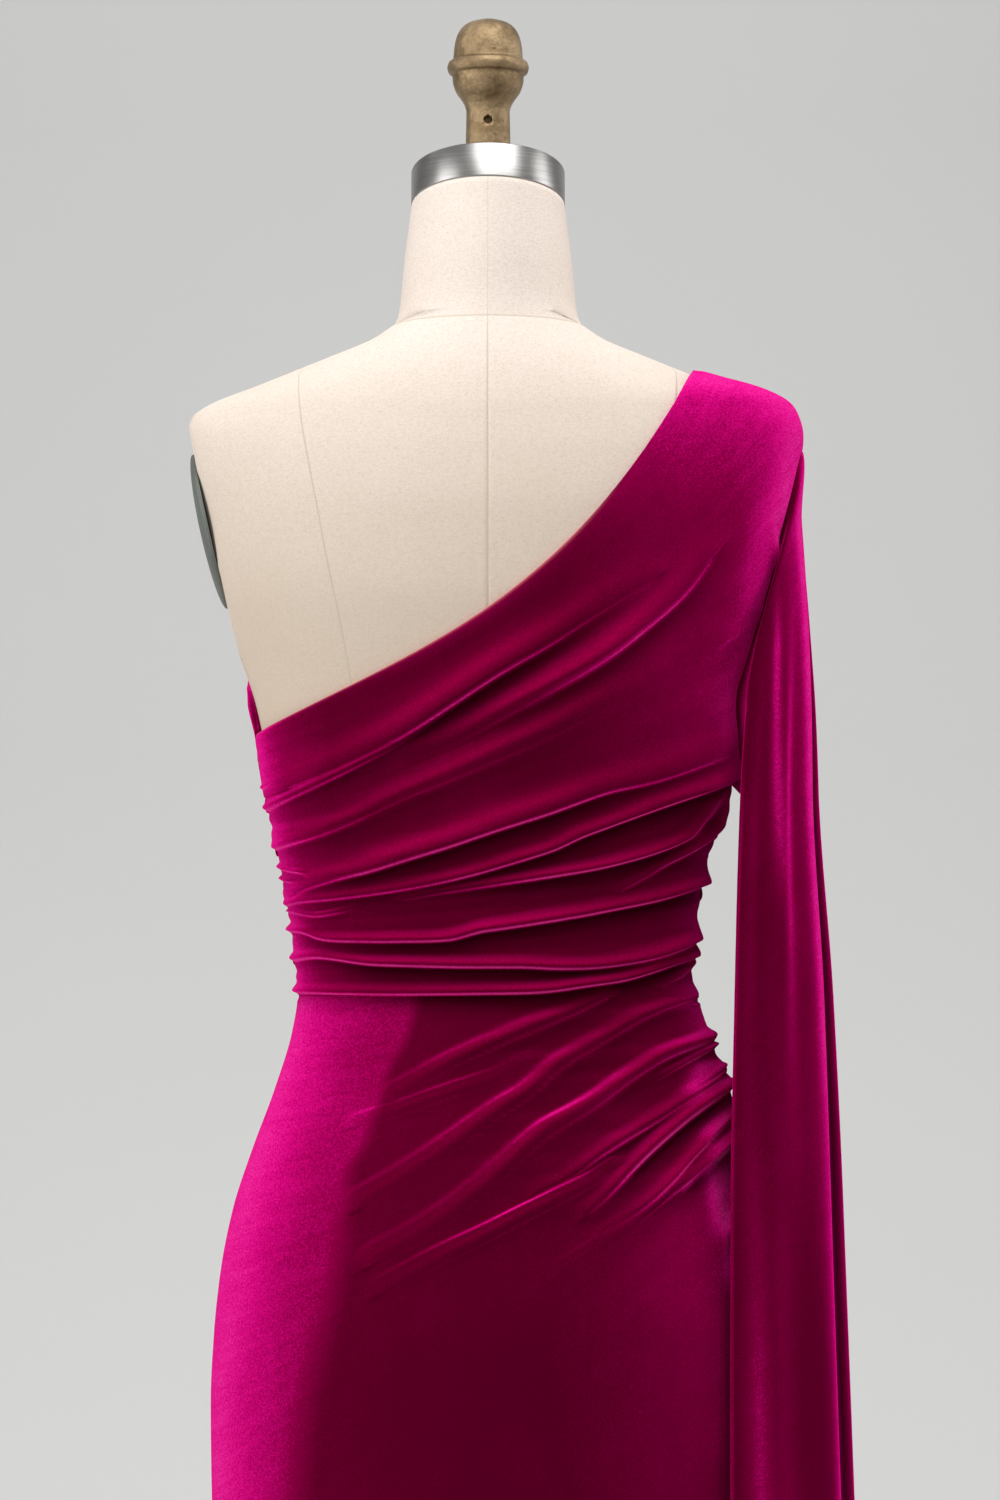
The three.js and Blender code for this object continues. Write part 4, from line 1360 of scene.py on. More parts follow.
    def panel(self, side: Side) -> bpy.types.Object:
        """Makes one panel's outer face.

        Args:
            side: the back or the front.

        Returns:
            The face.
        """
        v = MeshBuilder.spaced(side.of(self.rows), 0.012, 0.012)[:, None]
        u = MeshBuilder.spaced(self.columns, 0.06, 0.06)[None, :]
        v, u = np.broadcast_arrays(v, u)
        x, z = self.layout(side, u, v)
        point, normal = self.figure.point(side, x, z)
        relief = ALL_FOLDS[side].relief(point)
        ripples = Ripples(side.of((3, 4)), 14, (-1.2, 1.2), (6, 22))
        busy = 0.08 + 0.3 * smooth((0.86 - v) / 0.3)
        lift = (
            self.figure.bust_lift(side, x, z, self.figure.bust.out)
            + self.figure.side_lift(x, z)
            + relief.height
            + busy * ripples(u, v)
        )
        lift = lift + CLOTH.ease + CLOTH.thick - self.rolled(u, v)
        if side is Side.FRONT:
            lift = self.curled(point, lift, v)
        place = point + normal * lift[..., None]
        place[..., 1] += side.value * CLOTH.seam / 2
        if side is Side.FRONT:
            place = self.wrapped(place)
        marks = self.marks(side, point, v, relief)
        return MeshBuilder.grid(f"gown_bodice_{side.name.lower()}", place, normal, marks=marks)

    def rounded(self, x: np.ndarray, z: np.ndarray, v: np.ndarray) -> tuple[np.ndarray, np.ndarray]:
        """Rounds the front panel's top left corner down to the back panel's.

        Args:
            x: places across.
            z: heights.
            v: each row's place from the waist at 0 to the top edge at 1.

        Returns:
            The places and heights with the corner rounded.
        """
        across = x / self.figure.half(z)
        ahead = self.figure.point(Side.FRONT, x, z)[0][..., 1]
        fall = self.left_top[1] - self.left_top[0]
        corner = fall * (1 - smooth(ahead / self.corner)) * smooth((v - 0.5) / 0.5)
        lower = z - np.where(x < 0, corner, 0)
        return across * self.figure.half(lower), lower

    def curled(self, point: np.ndarray, lift: np.ndarray, v: np.ndarray) -> np.ndarray:
        """Turns the front panel's free left end in until it lies against the form.

        Args:
            point: points of the plain surface.
            lift: how far the cloth's outer face stands off it.
            v: each row's place from the waist at 0 to the top edge at 1.

        Returns:
            The lift with the end turned in.
        """
        x, y, z = point[..., 0], point[..., 1], point[..., 2]
        low, high = self.left_top
        inside = np.minimum(y, (1 - v) * (high - self.waist))
        end = (1 - smooth(inside / 11)) * smooth((z - low + 4) / 11) * (1 - smooth((y - 16) / 26))
        top = 0.75 * smooth((z - high + 24) / 30) * (1 - smooth((y - 20) / 60))
        return lift - np.maximum(end, top) * (x < 0) * (lift - CLOTH.thick - 0.5)

    def wrapped(self, place: np.ndarray) -> np.ndarray:
        """Carries the front panel's free left end round behind the form's side.

        Args:
            place: the front panel's points.

        Returns:
            The points with the end above the back panel's corner moved back along the form.
        """
        x, y, z = place[..., 0], place[..., 1], place[..., 2]
        low, high = self.left_top
        rise = (z - mix(low, high, 0.45)) / (0.55 * (high - low))
        free = smooth((z - low - 2) / 10) * (1 - smooth(rise))
        back = y - self.wrap * free * (1 - smooth(y / 26)) * (x < 0)
        behind = np.maximum(-back, 0) / self.figure.depth(Side.BACK, z)
        power = self.figure.power(z)
        return np.stack([x * (1 - behind**power) ** (1 / power), back, z], -1)

    def rolled(self, u: np.ndarray, v: np.ndarray) -> np.ndarray:
        """Works out how far the panel's sewn and turned edges dip.

        Args:
            u: places along each row, 0 to 1.
            v: each row's place, 0 to 1.

        Returns:
            The dip.
        """
        low = v * 260 + 12 * smooth((u - 0.6) / 0.1)
        near = np.minimum(np.minimum(low, (1 - v) * 300), (1 - np.abs(2 * u - 1)) * 60)
        return CLOTH.edge_roll * (1 - smooth(near / CLOTH.edge_width))

    def build(self) -> None:
        """Makes and dresses both panels."""
        for side, node in ((Side.BACK, "bodice_back"), (Side.FRONT, "bodice_front")):
            piece = self.panel(side)
            dress_cloth(piece, self.finishes, node)


@dataclass
class Skirt:
    """The sheath skirt: a back and a front panel, gathered into the right hip and flared below."""

    figure: Figure
    finishes: Finishes
    waist: float = WAIST
    hem: float = 22
    flutes: int = 10
    flute_from: float = 560
    flute_out: float = 24
    columns: int = 100
    fan_rows: tuple[int, int] = (310, 200)
    lower_rows: int = 84
    overlap: float = 0.5
    wrinkle: float = 0.35
    # Strength of a faint painted sheen on the skirt's right side below the hip.
    sheen_right: float = 0.15
    cut: FlatCut = FlatCut(0.8, 1.12, 0.6)

    # Painted sheen where brushed pile catches the light from the left: border, front shift, softness,
    # strength.
    SHEEN_EDGE = (
        (22, -150), (746, -110), (808, -102), (851, -93), (901, -83), (953, -80), (970, -71),
        (1003, -61), (1015, -57), (1032, -48), (1047, -43), (1060, -40),
    )
    SHEEN_FRONT_SHIFT = -35
    SHEEN_BLEND = (9, 30)
    SHEEN_GAIN = (0.61, 0.74)

    SEAM_HEIGHTS = (
        (720, 975), (700, 938), (680, 900), (655, 855), (625, 790), (590, 680), (560, 560), (22, 22),
    )

    def layout(self, side: Side) -> tuple[np.ndarray, np.ndarray, np.ndarray]:
        """Fans the panel's rows from the right hip, and lays the lower ones level.

        Args:
            side: the back or the front.

        Returns:
            The places along each row as 0 to 1, the places across and the heights.
        """
        left, right = (Curve(range(9), (self.waist + self.overlap, *column))
                       for column in zip(*self.SEAM_HEIGHTS))
        lower = np.linspace(1, 8, self.lower_rows + 1)[1:]
        step = np.concatenate([MeshBuilder.spaced(side.of(self.fan_rows), 0.02), lower])
        k, u = np.meshgrid(step, MeshBuilder.spaced(self.columns, 0.03, 0.03), indexing="ij")
        turn = np.pi * u
        z = mix(left(k), right(k), (1 - np.cos(turn)) / 2)
        return u, self.figure.across(turn, z), z

    def marks(self, side: Side, point: np.ndarray, relief: Relief) -> dict[str, np.ndarray]:
        """Works out the painted sheen, brighter left of a line down the panel, and the folds' painted
        marks.

        Args:
            side: the back or the front.
            point: points of the plain surface.
            relief: what the folds do there.

        Returns:
            The marks that the velvet reads, by name.
        """
        x, z = point[..., 0], point[..., 2]
        border = Curve(*zip(*self.SHEEN_EDGE))(z) + side.of((0, self.SHEEN_FRONT_SHIFT))
        blend = mix(*self.SHEEN_BLEND, smooth((1000 - z) / 160))
        depth = (border - x) / (border + self.figure.half(z) + 12)
        painted_sheen = smooth((border - x) / blend + 0.3) * mix(*self.SHEEN_GAIN, smooth(1.3 * depth))
        right = self.sheen_right * smooth((x - 25) / 100) * smooth((1000 - z) / 60)
        return {
            "painted_sheen": painted_sheen + right + sum(patch(point) for patch in SKIRT_SHEEN),
            "edge": relief.edge,
            "crease": relief.crease,
            "roll": relief.roll * (1 - 0.7 * painted_sheen),
        }

    def panel(self, side: Side) -> bpy.types.Object:
        """Makes one panel's outer face.

        Args:
            side: the back or the front.

        Returns:
            The face.
        """
        u, x, z = self.layout(side)
        opening = smooth((self.flute_from - z) / (self.flute_from - self.hem))
        flute = opening * self.flute_out * (0.5 + 0.5 * np.cos(self.flutes * (np.pi * u)))
        point, normal = self.figure.point(side, x, z)
        relief = ALL_FOLDS[side].relief(point)
        ripples = Ripples(side.of((7, 8)), 12, (0.4, 1.6), (1.0, 4.0))
        high = smooth((z - 860) / 120) * smooth((x + 60) / 120)
        lift = (
            self.figure.side_lift(x, z)
            + relief.height
            + flute
            + self.wrinkle * high * ripples(u, 4 * (self.waist - z) / 200)
        )
        lift = lift + CLOTH.ease + CLOTH.thick - self.rolled(u, z)
        place = point + normal * lift[..., None]
        place[..., 1] += side.value * CLOTH.seam / 2
        marks = self.marks(side, point, relief)
        return MeshBuilder.grid(f"gown_skirt_{side.name.lower()}", place, normal, marks=marks)

    def rolled(self, u: np.ndarray, z: np.ndarray) -> np.ndarray:
        """Works out how far the panel dips at its seams and at its turned hem.

        Args:
            u: places along each row, 0 to 1.
            z: heights.

        Returns:
            The dip.
        """
        ends = np.minimum(self.waist - z + 12 * smooth((u - 0.6) / 0.1), z - self.hem)
        near = np.minimum(ends, (1 - np.abs(2 * u - 1)) * 150)
        return CLOTH.edge_roll * (1 - smooth(near / CLOTH.edge_width))

    def build(self) -> None:
        """Makes and dresses both panels."""
        for side, node in ((Side.BACK, "skirt_back"), (Side.FRONT, "skirt_front")):
            piece = self.panel(side)
            dress_cloth(piece, self.finishes, node)


@dataclass(frozen=True)
class SleeveRow:
    """One level of the hanging sleeve in plan: its back edge, middle and front edge, and puff."""

    z: float
    back_x: float
    back_y: float
    mid_x: float
    mid_y: float
    front_x: float
    front_y: float
    puff: float


@dataclass(frozen=True)
class SleeveFold:
    """A soft fold down the sleeve: place round it, width, height and where it starts and ends."""

    turn: float
    width: float
    height: float
    top: float
    bottom: float


@dataclass(frozen=True)
class SleeveShade:
    """A streak down the sleeve of painted sheen (gain above 0) or of painted shade: its place
    round the sleeve at its top and its bottom, width, how high it runs and over what length it
    starts."""

    turns: tuple[float, float]
    width: float
    top: float
    bottom: float
    start: float
    gain: float

    def __call__(self, turn: np.ndarray, z: np.ndarray) -> np.ndarray:
        """Works out the streak's painted sheen round the sleeve, painted shade where its gain is below 0.

        Args:
            turn: places round the sleeve, 0 to 1.
            z: heights.

        Returns:
            The painted sheen to add, below 0 where it is painted shade.
        """
        down = np.clip((self.top - z) / (self.top - self.bottom), 0, 1)
        off = (turn - mix(*self.turns, down) + 0.5) % 1 - 0.5
        run = smooth((self.top - z) / self.start) * smooth((z - self.bottom) / 90)
        return self.gain * run * np.exp(-((off / self.width) ** 2))


@dataclass
class Sleeve:
    """The one long sleeve, which hangs empty from the armhole."""

    figure: Figure
    bodice: Bodice
    finishes: Finishes
    cuff: float = 440
    head_drop: float = 44
    head_share: float = 0.12
    head_leave: float = 14
    head_arrive: float = 50
    elbow: tuple[float, float] = (0.21, 976)
    columns: int = 180
    rows: int = 170
    cut: FlatCut = FlatCut(0.44, 0.98, 0.34)

    ROWS = (
        SleeveRow(440, 150, -100, 216, 0, 206, 106, 17),
        SleeveRow(600, 149, -94, 212.5, 0, 202, 98, 16),
        SleeveRow(745, 148, -88, 209, -1, 198, 90, 15),
        SleeveRow(930, 149, -78, 204, -3, 192, 82, 14),
        SleeveRow(1060, 152, -72, 199, -5, 184, 72, 14),
        SleeveRow(1195, 157, -66, 192, -5, 176, 60, 13),
        SleeveRow(1300, 166, -58, 193, -4, 172, 52, 9),
        SleeveRow(1412, 174, -50, 191, -2, 176, 44, 4),
    )
    FOLDS = (
        SleeveFold(0.0, 0.014, -4.0, 1400, 440),
        SleeveFold(0.045, 0.03, 2.4, 1380, 440),
        SleeveFold(0.085, 0.02, -1.6, 1340, 900),
        SleeveFold(0.112, 0.016, 2.6, 1330, 980),
        SleeveFold(0.142, 0.024, 2.0, 1010, 440),
        SleeveFold(0.17, 0.02, -2.2, 1320, 440),
        SleeveFold(0.21, 0.02, 1.6, 1260, 440),
        SleeveFold(0.243, 0.012, -1.8, 1280, 440),
        SleeveFold(0.3, 0.035, -3.0, 1180, 440),
        SleeveFold(0.38, 0.035, 3.2, 1150, 440),
        SleeveFold(0.47, 0.04, -3.0, 1150, 440),
        SleeveFold(0.56, 0.035, 3.0, 1150, 440),
        SleeveFold(0.64, 0.03, -2.8, 1180, 440),
        SleeveFold(0.7, 0.03, 3.2, 1240, 440),
        SleeveFold(0.77, 0.025, -2.4, 1290, 440),
        SleeveFold(0.83, 0.03, 3.4, 1330, 560),
        SleeveFold(0.9, 0.03, -2.8, 1340, 440),
        SleeveFold(0.964, 0.02, 3.6, 1390, 440),
    )

    # Streaks of painted sheen down the sleeve, and of painted shade where the gain is below 0.
    SHADES = (
        SleeveShade((0.055, 0.022), 0.02, 1400, 960, 60, 0.75),
        SleeveShade((0.15, 0.112), 0.013, 1330, 1090, 60, 0.9),
        SleeveShade((0.965, 0.965), 0.022, 1350, 300, 100, -0.7),
        SleeveShade((0.168, 0.152), 0.018, 1060, 300, 300, 0.72),
        SleeveShade((0.24, 0.243), 0.008, 1210, 300, 60, 0.6),
        SleeveShade((0.08, 0.075), 0.03, 1000, 300, 160, -0.4),
        SleeveShade((0.045, 0.048), 0.024, 980, 300, 260, -0.55),
        SleeveShade((0.205, 0.2), 0.014, 1240, 300, 100, 0.12),
        SleeveShade((0.62, 0.6), 0.02, 1200, 300, 200, 0.35),
        SleeveShade((0.8, 0.78), 0.03, 1250, 300, 200, 0.3),
    )
    # Lines of painted shade down the sleeve, read as its crease mark.
    LINES = (
        SleeveShade((0.99, 0.99), 0.01, 1360, 300, 60, 1.0),
        SleeveShade((0.264, 0.268), 0.009, 1200, 985, 40, 0.85),
        SleeveShade((0.13, 0.235), 0.05, 1420, 1250, 30, 0.55),
    )

    def __post_init__(self) -> None:
        """Makes the curves through the sleeve's table."""
        names = ("back_x", "back_y", "mid_x", "mid_y", "front_x", "front_y", "puff")
        self.curve = curves(self.ROWS, *names)

    def section(self, turn: np.ndarray, z: np.ndarray) -> tuple[np.ndarray, np.ndarray]:
        """Works out the hanging sleeve's outer face and its outward directions.

        Args:
            turn: places round the sleeve, 0 to 1.
            z: heights.

        Returns:
            The points and the directions, each with a last axis of 3.
        """
        angle = 2 * np.pi * turn
        s = -np.sin(angle)
        at = {name: curve(z) for name, curve in self.curve.items()}
        weights = (s * s - s) / 2, 1 - s * s, (s * s + s) / 2
        slopes = s - 0.5, -2 * s, s + 0.5
        columns = [("back_x", "mid_x", "front_x"), ("back_y", "mid_y", "front_y")]
        x, y = (sum(w * at[name] for w, name in zip(weights, names)) for names in columns)
        dx, dy = (sum(w * at[name] for w, name in zip(slopes, names)) for names in columns)
        length = np.hypot(dx, dy)
        out = np.stack([dy / length, -dx / length, np.zeros_like(x)], -1)
        puff = at["puff"] + self.relief(turn, z)
        middle = np.stack([x, y, z], -1)
        facing = out * np.cos(angle)[..., None]
        along = np.stack([dx / length, dy / length, np.zeros_like(x)], -1)
        return middle + facing * puff[..., None], facing + along * s[..., None]

    def relief(self, turn: np.ndarray, z: np.ndarray) -> np.ndarray:
        """Works out the soft vertical folds' height.

        Args:
            turn: places round the sleeve, 0 to 1.
            z: heights.

        Returns:
            The height.
        """
        total = np.zeros_like(z)
        for fold in self.FOLDS:
            off = (turn - fold.turn + 0.5) % 1 - 0.5
            end = smooth((z - fold.bottom) / 160 + (fold.bottom <= self.cuff))
            run = smooth((fold.top - z) / 160) * end
            total += fold.height * run * np.exp(-((off / fold.width) ** 2))
        return total

    def head(self, turn: np.ndarray, rim: np.ndarray, normal: np.ndarray,
             t: float) -> tuple[np.ndarray, np.ndarray]:
        """Works out one ring of the head, which bends out of the armhole and down.

        Args:
            turn: places round the sleeve, 0 to 1.
            rim: the sleeve's first ring.
            normal: the outward directions there.
            t: how far down the head, 0 to 1.

        Returns:
            The ring's points and their outward directions.
        """
        low, facing = self.section(turn, rim[:, 2] - self.head_drop)
        level = 0 * turn
        leave = np.stack([level + self.head_leave, level, level - self.head_leave], -1)
        arrive = np.stack([level, level, level - self.head_arrive], -1)
        return bridge(rim, leave, low, arrive, t), normal * (1 - t) + facing * t

    def marks(self, around: np.ndarray, z: np.ndarray) -> dict[str, np.ndarray]:
        """Works out the sleeve's painted sheen streaks and painted shade lines.

        Args:
            around: places round the sleeve, 0 to 1.
            z: heights.

        Returns:
            The marks that the velvet reads, by name.
        """
        turn, level = self.elbow
        bend = z - level + 60 * (around - turn)
        elbow = np.exp(-((bend / 1.4) ** 2) - ((around - turn) / 0.035) ** 4)
        plain = np.zeros(z.shape)
        return {
            "painted_sheen": sum(shade(around, z) for shade in self.SHADES) + 0.2 * elbow,
            "edge": plain,
            "crease": np.clip(sum(line(around, z) for line in self.LINES), 0, 1),
            "roll": plain,
        }

    def build(self) -> None:
        """Makes and dresses the sleeve."""
        turn = np.linspace(0, 1, self.columns + 1)
        rim, normal = self.rim(turn)
        rings = []
        for step in MeshBuilder.spaced(self.rows, 0.02, 0.006):
            if step <= self.head_share:
                rings.append(self.head(turn, rim, normal, step / self.head_share))
            else:
                t = ((step - self.head_share) / (1 - self.head_share)) ** 1.1
                rings.append(self.section(turn, mix(rim[:, 2] - self.head_drop, self.cuff, t)))
        points, outward = (np.array(column) for column in zip(*rings))
        marks = self.marks(np.broadcast_to(turn, points.shape[:2]), points[..., 2])
        piece = MeshBuilder.grid("gown_sleeve", points, outward, closed=True, marks=marks)
        dress_cloth(piece, self.finishes, "sleeve")

    def rim(self, turn: np.ndarray) -> tuple[np.ndarray, np.ndarray]:
        """Works out the first ring, just inside the armhole, and its outward directions.

        Args:
            turn: places round the armhole, 0 to 1.

        Returns:
            The points and the directions.
        """
        places, normals = np.zeros((len(turn), 3)), np.zeros((len(turn), 3))
        for side, chosen in ((Side.BACK, turn <= 0.5), (Side.FRONT, turn > 0.5)):
            down = np.where(side is Side.BACK, 2 * turn, 2 - 2 * turn)[chosen]
            x, z = self.bodice.armhole_edge(side, down)
            point, normal = self.figure.point(side, x, z)
            lift = (
                self.figure.bust_lift(side, x, z, self.figure.bust.out)
                + self.figure.side_lift(x, z)
                + CLOTH.ease
                + CLOTH.thick / 2
            )
            places[chosen] = point + normal * lift[:, None]
            normals[chosen] = normal
        centre = places[:-1].mean(0)
        inward = centre - places
        inward -= normals * (inward * normals).sum(-1, keepdims=True)
        inward /= np.linalg.norm(inward, axis=-1, keepdims=True)
        return places + inward * CLOTH.tuck, normals


@dataclass(frozen=True)
class NeckRow:
    """One level of the neck: radius, how far forward it stands and how far it tips."""

    z: float
    radius: float
    forward: float
    tip: float


@dataclass(frozen=True)
class PlateSeat:
    """Where the arm plates lie on the form's sides: place across, height and lean in degrees."""

    x: float = 174.4
    z: float = 1354
    lean: float = 12.6


@dataclass
class DressForm:
    """The padded linen body with its neck, and the marks of its sewn seams."""

    figure: Figure
    finishes: Finishes
    bottom: float = 770
    groove: float = 0.45
    seat: PlateSeat = PlateSeat()
    rows: int = 190
    neck_rows: int = 26

    NECK = (
        NeckRow(1484, 58.5, 0, 0),
        NeckRow(1495, 56, 2, 3),
        NeckRow(1522, 53.5, 5, 8),
        NeckRow(1545, 50.8, 8, 12),
        NeckRow(1562, 48.8, 10, 14),
    )
    BACK_SEAM = ((770, 74), (900, 68), (1060, 54), (1160, 66), (1250, 83), (1278, 88), (1351, 103),
                 (1450, 118), (1484, 58))
    FRONT_SEAM = ((770, 70), (900, 66), (1060, 52), (1160, 64), (1290, 80), (1370, 88), (1450, 100),
                  (1484, 50))
    SEAM_STEPS = (0, 0.005, 0.014, 0.045)
    MIDDLES = (2, 6)
    SIDES = (0, 4, 8)
    NECK_STITCH = (1483.2, 1482.4)

    def columns(self) -> tuple[np.ndarray, np.ndarray]:
        """Places the columns between the eight seam lines, close together at each.

        Returns:
            The places, and whether each is on a line.
        """
        inner = np.linspace(0, 1, 18)[2:-2]
        one = np.concatenate([self.SEAM_STEPS, inner, 1 - np.array(self.SEAM_STEPS[:0:-1])])
        close = np.minimum(one, 1 - one) < 0.004
        place = np.concatenate([one + quarter for quarter in range(8)] + [[8.0]])
        return place, np.concatenate([close] * 8 + [[True]])

    def body(self, place: np.ndarray, on_seam: np.ndarray) -> tuple[list[np.ndarray], list[np.ndarray]]:
        """Works out the body's rings from the bottom up to the neck.

        Args:
            place: each column's place between the seam lines.
            on_seam: whether it is on one.

        Returns:
            The rings, and which points of each are on a seam that shows.
        """
        heights = np.linspace(self.bottom, self.NECK[0].z, self.rows)
        back, front = Curve(*zip(*self.BACK_SEAM)), Curve(*zip(*self.FRONT_SEAM))
        line = np.rint(place)
        rings, marks = [], []
        for z in np.sort(np.concatenate([heights, self.NECK_STITCH])):
            level = np.full(len(place), float(z))
            half, power = self.figure.half(level), self.figure.power(level)
            quarters = [np.arccos(np.clip(seam(level) / half, 0, 0.97) ** (power / 2))
                        for seam in (back, front)]
            rings.append(self.ring(level, self.angles(place, *quarters)))
            mark = on_seam * (np.isin(line, self.MIDDLES) | (z < 1470)) & ~np.isin(line, self.SIDES)
            marks.append(mark | (abs(z - self.NECK_STITCH[0]) < 0.3))
        return rings, marks

    def build(self) -> None:
        """Makes and dresses the body and neck."""
        place, on_seam = self.columns()
        rings, marks = self.body(place, on_seam)
        for z in np.linspace(self.NECK[0].z + 4, self.NECK[-1].z, self.neck_rows):
            rings.append(self.neck_ring(float(z), place))
            marks.append(on_seam & (np.rint(place) == self.MIDDLES[0]))
        points, marked = self.planed(np.array(rings)), np.array(marks)
        outward = points - points.mean(1, keepdims=True)
        outward[..., 2] = 0
        sunk = outward / np.linalg.norm(outward, axis=-1, keepdims=True)
        deep = np.where(points[..., 2] > 1480, 0.3, 1.0) * self.groove
        points = points - sunk * (deep * marked)[..., None]
        piece = MeshBuilder.grid("dress_form", points, outward, closed=True, capped=True)
        self.mark_seams(piece, points, marked)
        dress(piece, "form_torso", "linen", self.finishes.linen)

    def angles(self, place: np.ndarray, back: np.ndarray, front: np.ndarray) -> np.ndarray:
        """Spreads the columns between the seam lines, which stand at their own angles.

        Args:
            place: each column's place between the lines.
            back: the angle of the two lines behind, for each column.
            front: the same for those in front.

        Returns:
            Each column's angle.
        """
        lines = np.stack([
            0 * back, back, 0 * back + np.pi / 2, np.pi - back, 0 * back + np.pi,
            np.pi + front, 0 * back + 1.5 * np.pi, 2 * np.pi - front, 0 * back + 2 * np.pi,
        ])
        low = np.clip(place.astype(int), 0, 7)
        column = np.arange(len(place))
        share = place - low
        return lines[low, column] * (1 - share) + lines[low + 1, column] * share

    def ring(self, level: np.ndarray, angle: np.ndarray) -> np.ndarray:
        """Works out one level ring of the body.

        Args:
            level: its height, for each column.
            angle: each column's place round the figure.

        Returns:
            The ring's points.
        """
        x = self.figure.across(angle, level)
        ring = np.zeros((len(angle), 3))
        for side, chosen in ((Side.BACK, np.sin(angle) >= 0), (Side.FRONT, np.sin(angle) < 0)):
            point, normal = self.figure.point(side, x[chosen], level[chosen])
            lift = self.figure.bust_lift(side, x[chosen], level[chosen], self.figure.bust.form_out)
            ring[chosen] = point + normal * lift[:, None]
        return ring

    def neck_ring(self, z: float, place: np.ndarray) -> np.ndarray:
        """Works out one tipped ring of the neck.

        Args:
            z: its height.
            place: each column's place between the seam lines.

        Returns:
            The ring's points.
        """
        table = curves(self.NECK, "radius", "forward", "tip").values()
        radius, forward, tip = (float(curve(np.array(z))) for curve in table)
        tip = math.radians(tip)
        angle = place * np.pi / 4
        x, y = -radius * np.cos(angle), -radius * np.sin(angle)
        return np.stack([x, y * math.cos(tip) + forward, z - y * math.sin(tip)], -1)

    def planed(self, points: np.ndarray) -> np.ndarray:
        """Flattens the body where the arm plates sit.

        Args:
            points: the body's points.

        Returns:
            The points, with those outside a plate's plane moved onto it.
        """
        lean = math.radians(self.seat.lean)
        for hand in (-1, 1):
            out = np.array([hand * math.cos(lean), 0, -math.sin(lean)])
            above = (points - np.array([hand * self.seat.x, 0, self.seat.z])) @ out
            cut = np.clip(above, 0, None)[..., None] / math.cos(lean)
            points = points - cut * np.array([hand, 0, 0])
        return points

    def mark_seams(self, piece: bpy.types.Object, points: np.ndarray, marks: np.ndarray) -> None:
        """Writes the seam mark that the linen darkens by.

        Args:
            piece: the form.
            points: its points as they were laid out.
            marks: which of them are on a seam.
        """
        sewn = {tuple(np.round(place * MM, 5)) for place in points[marks.astype(bool)]}
        layer = piece.data.attributes.new("seam", "FLOAT", "POINT")
        for i, vert in enumerate(piece.data.vertices):
            layer.data[i].value = float(tuple(np.round(np.array(vert.co), 5)) in sewn)


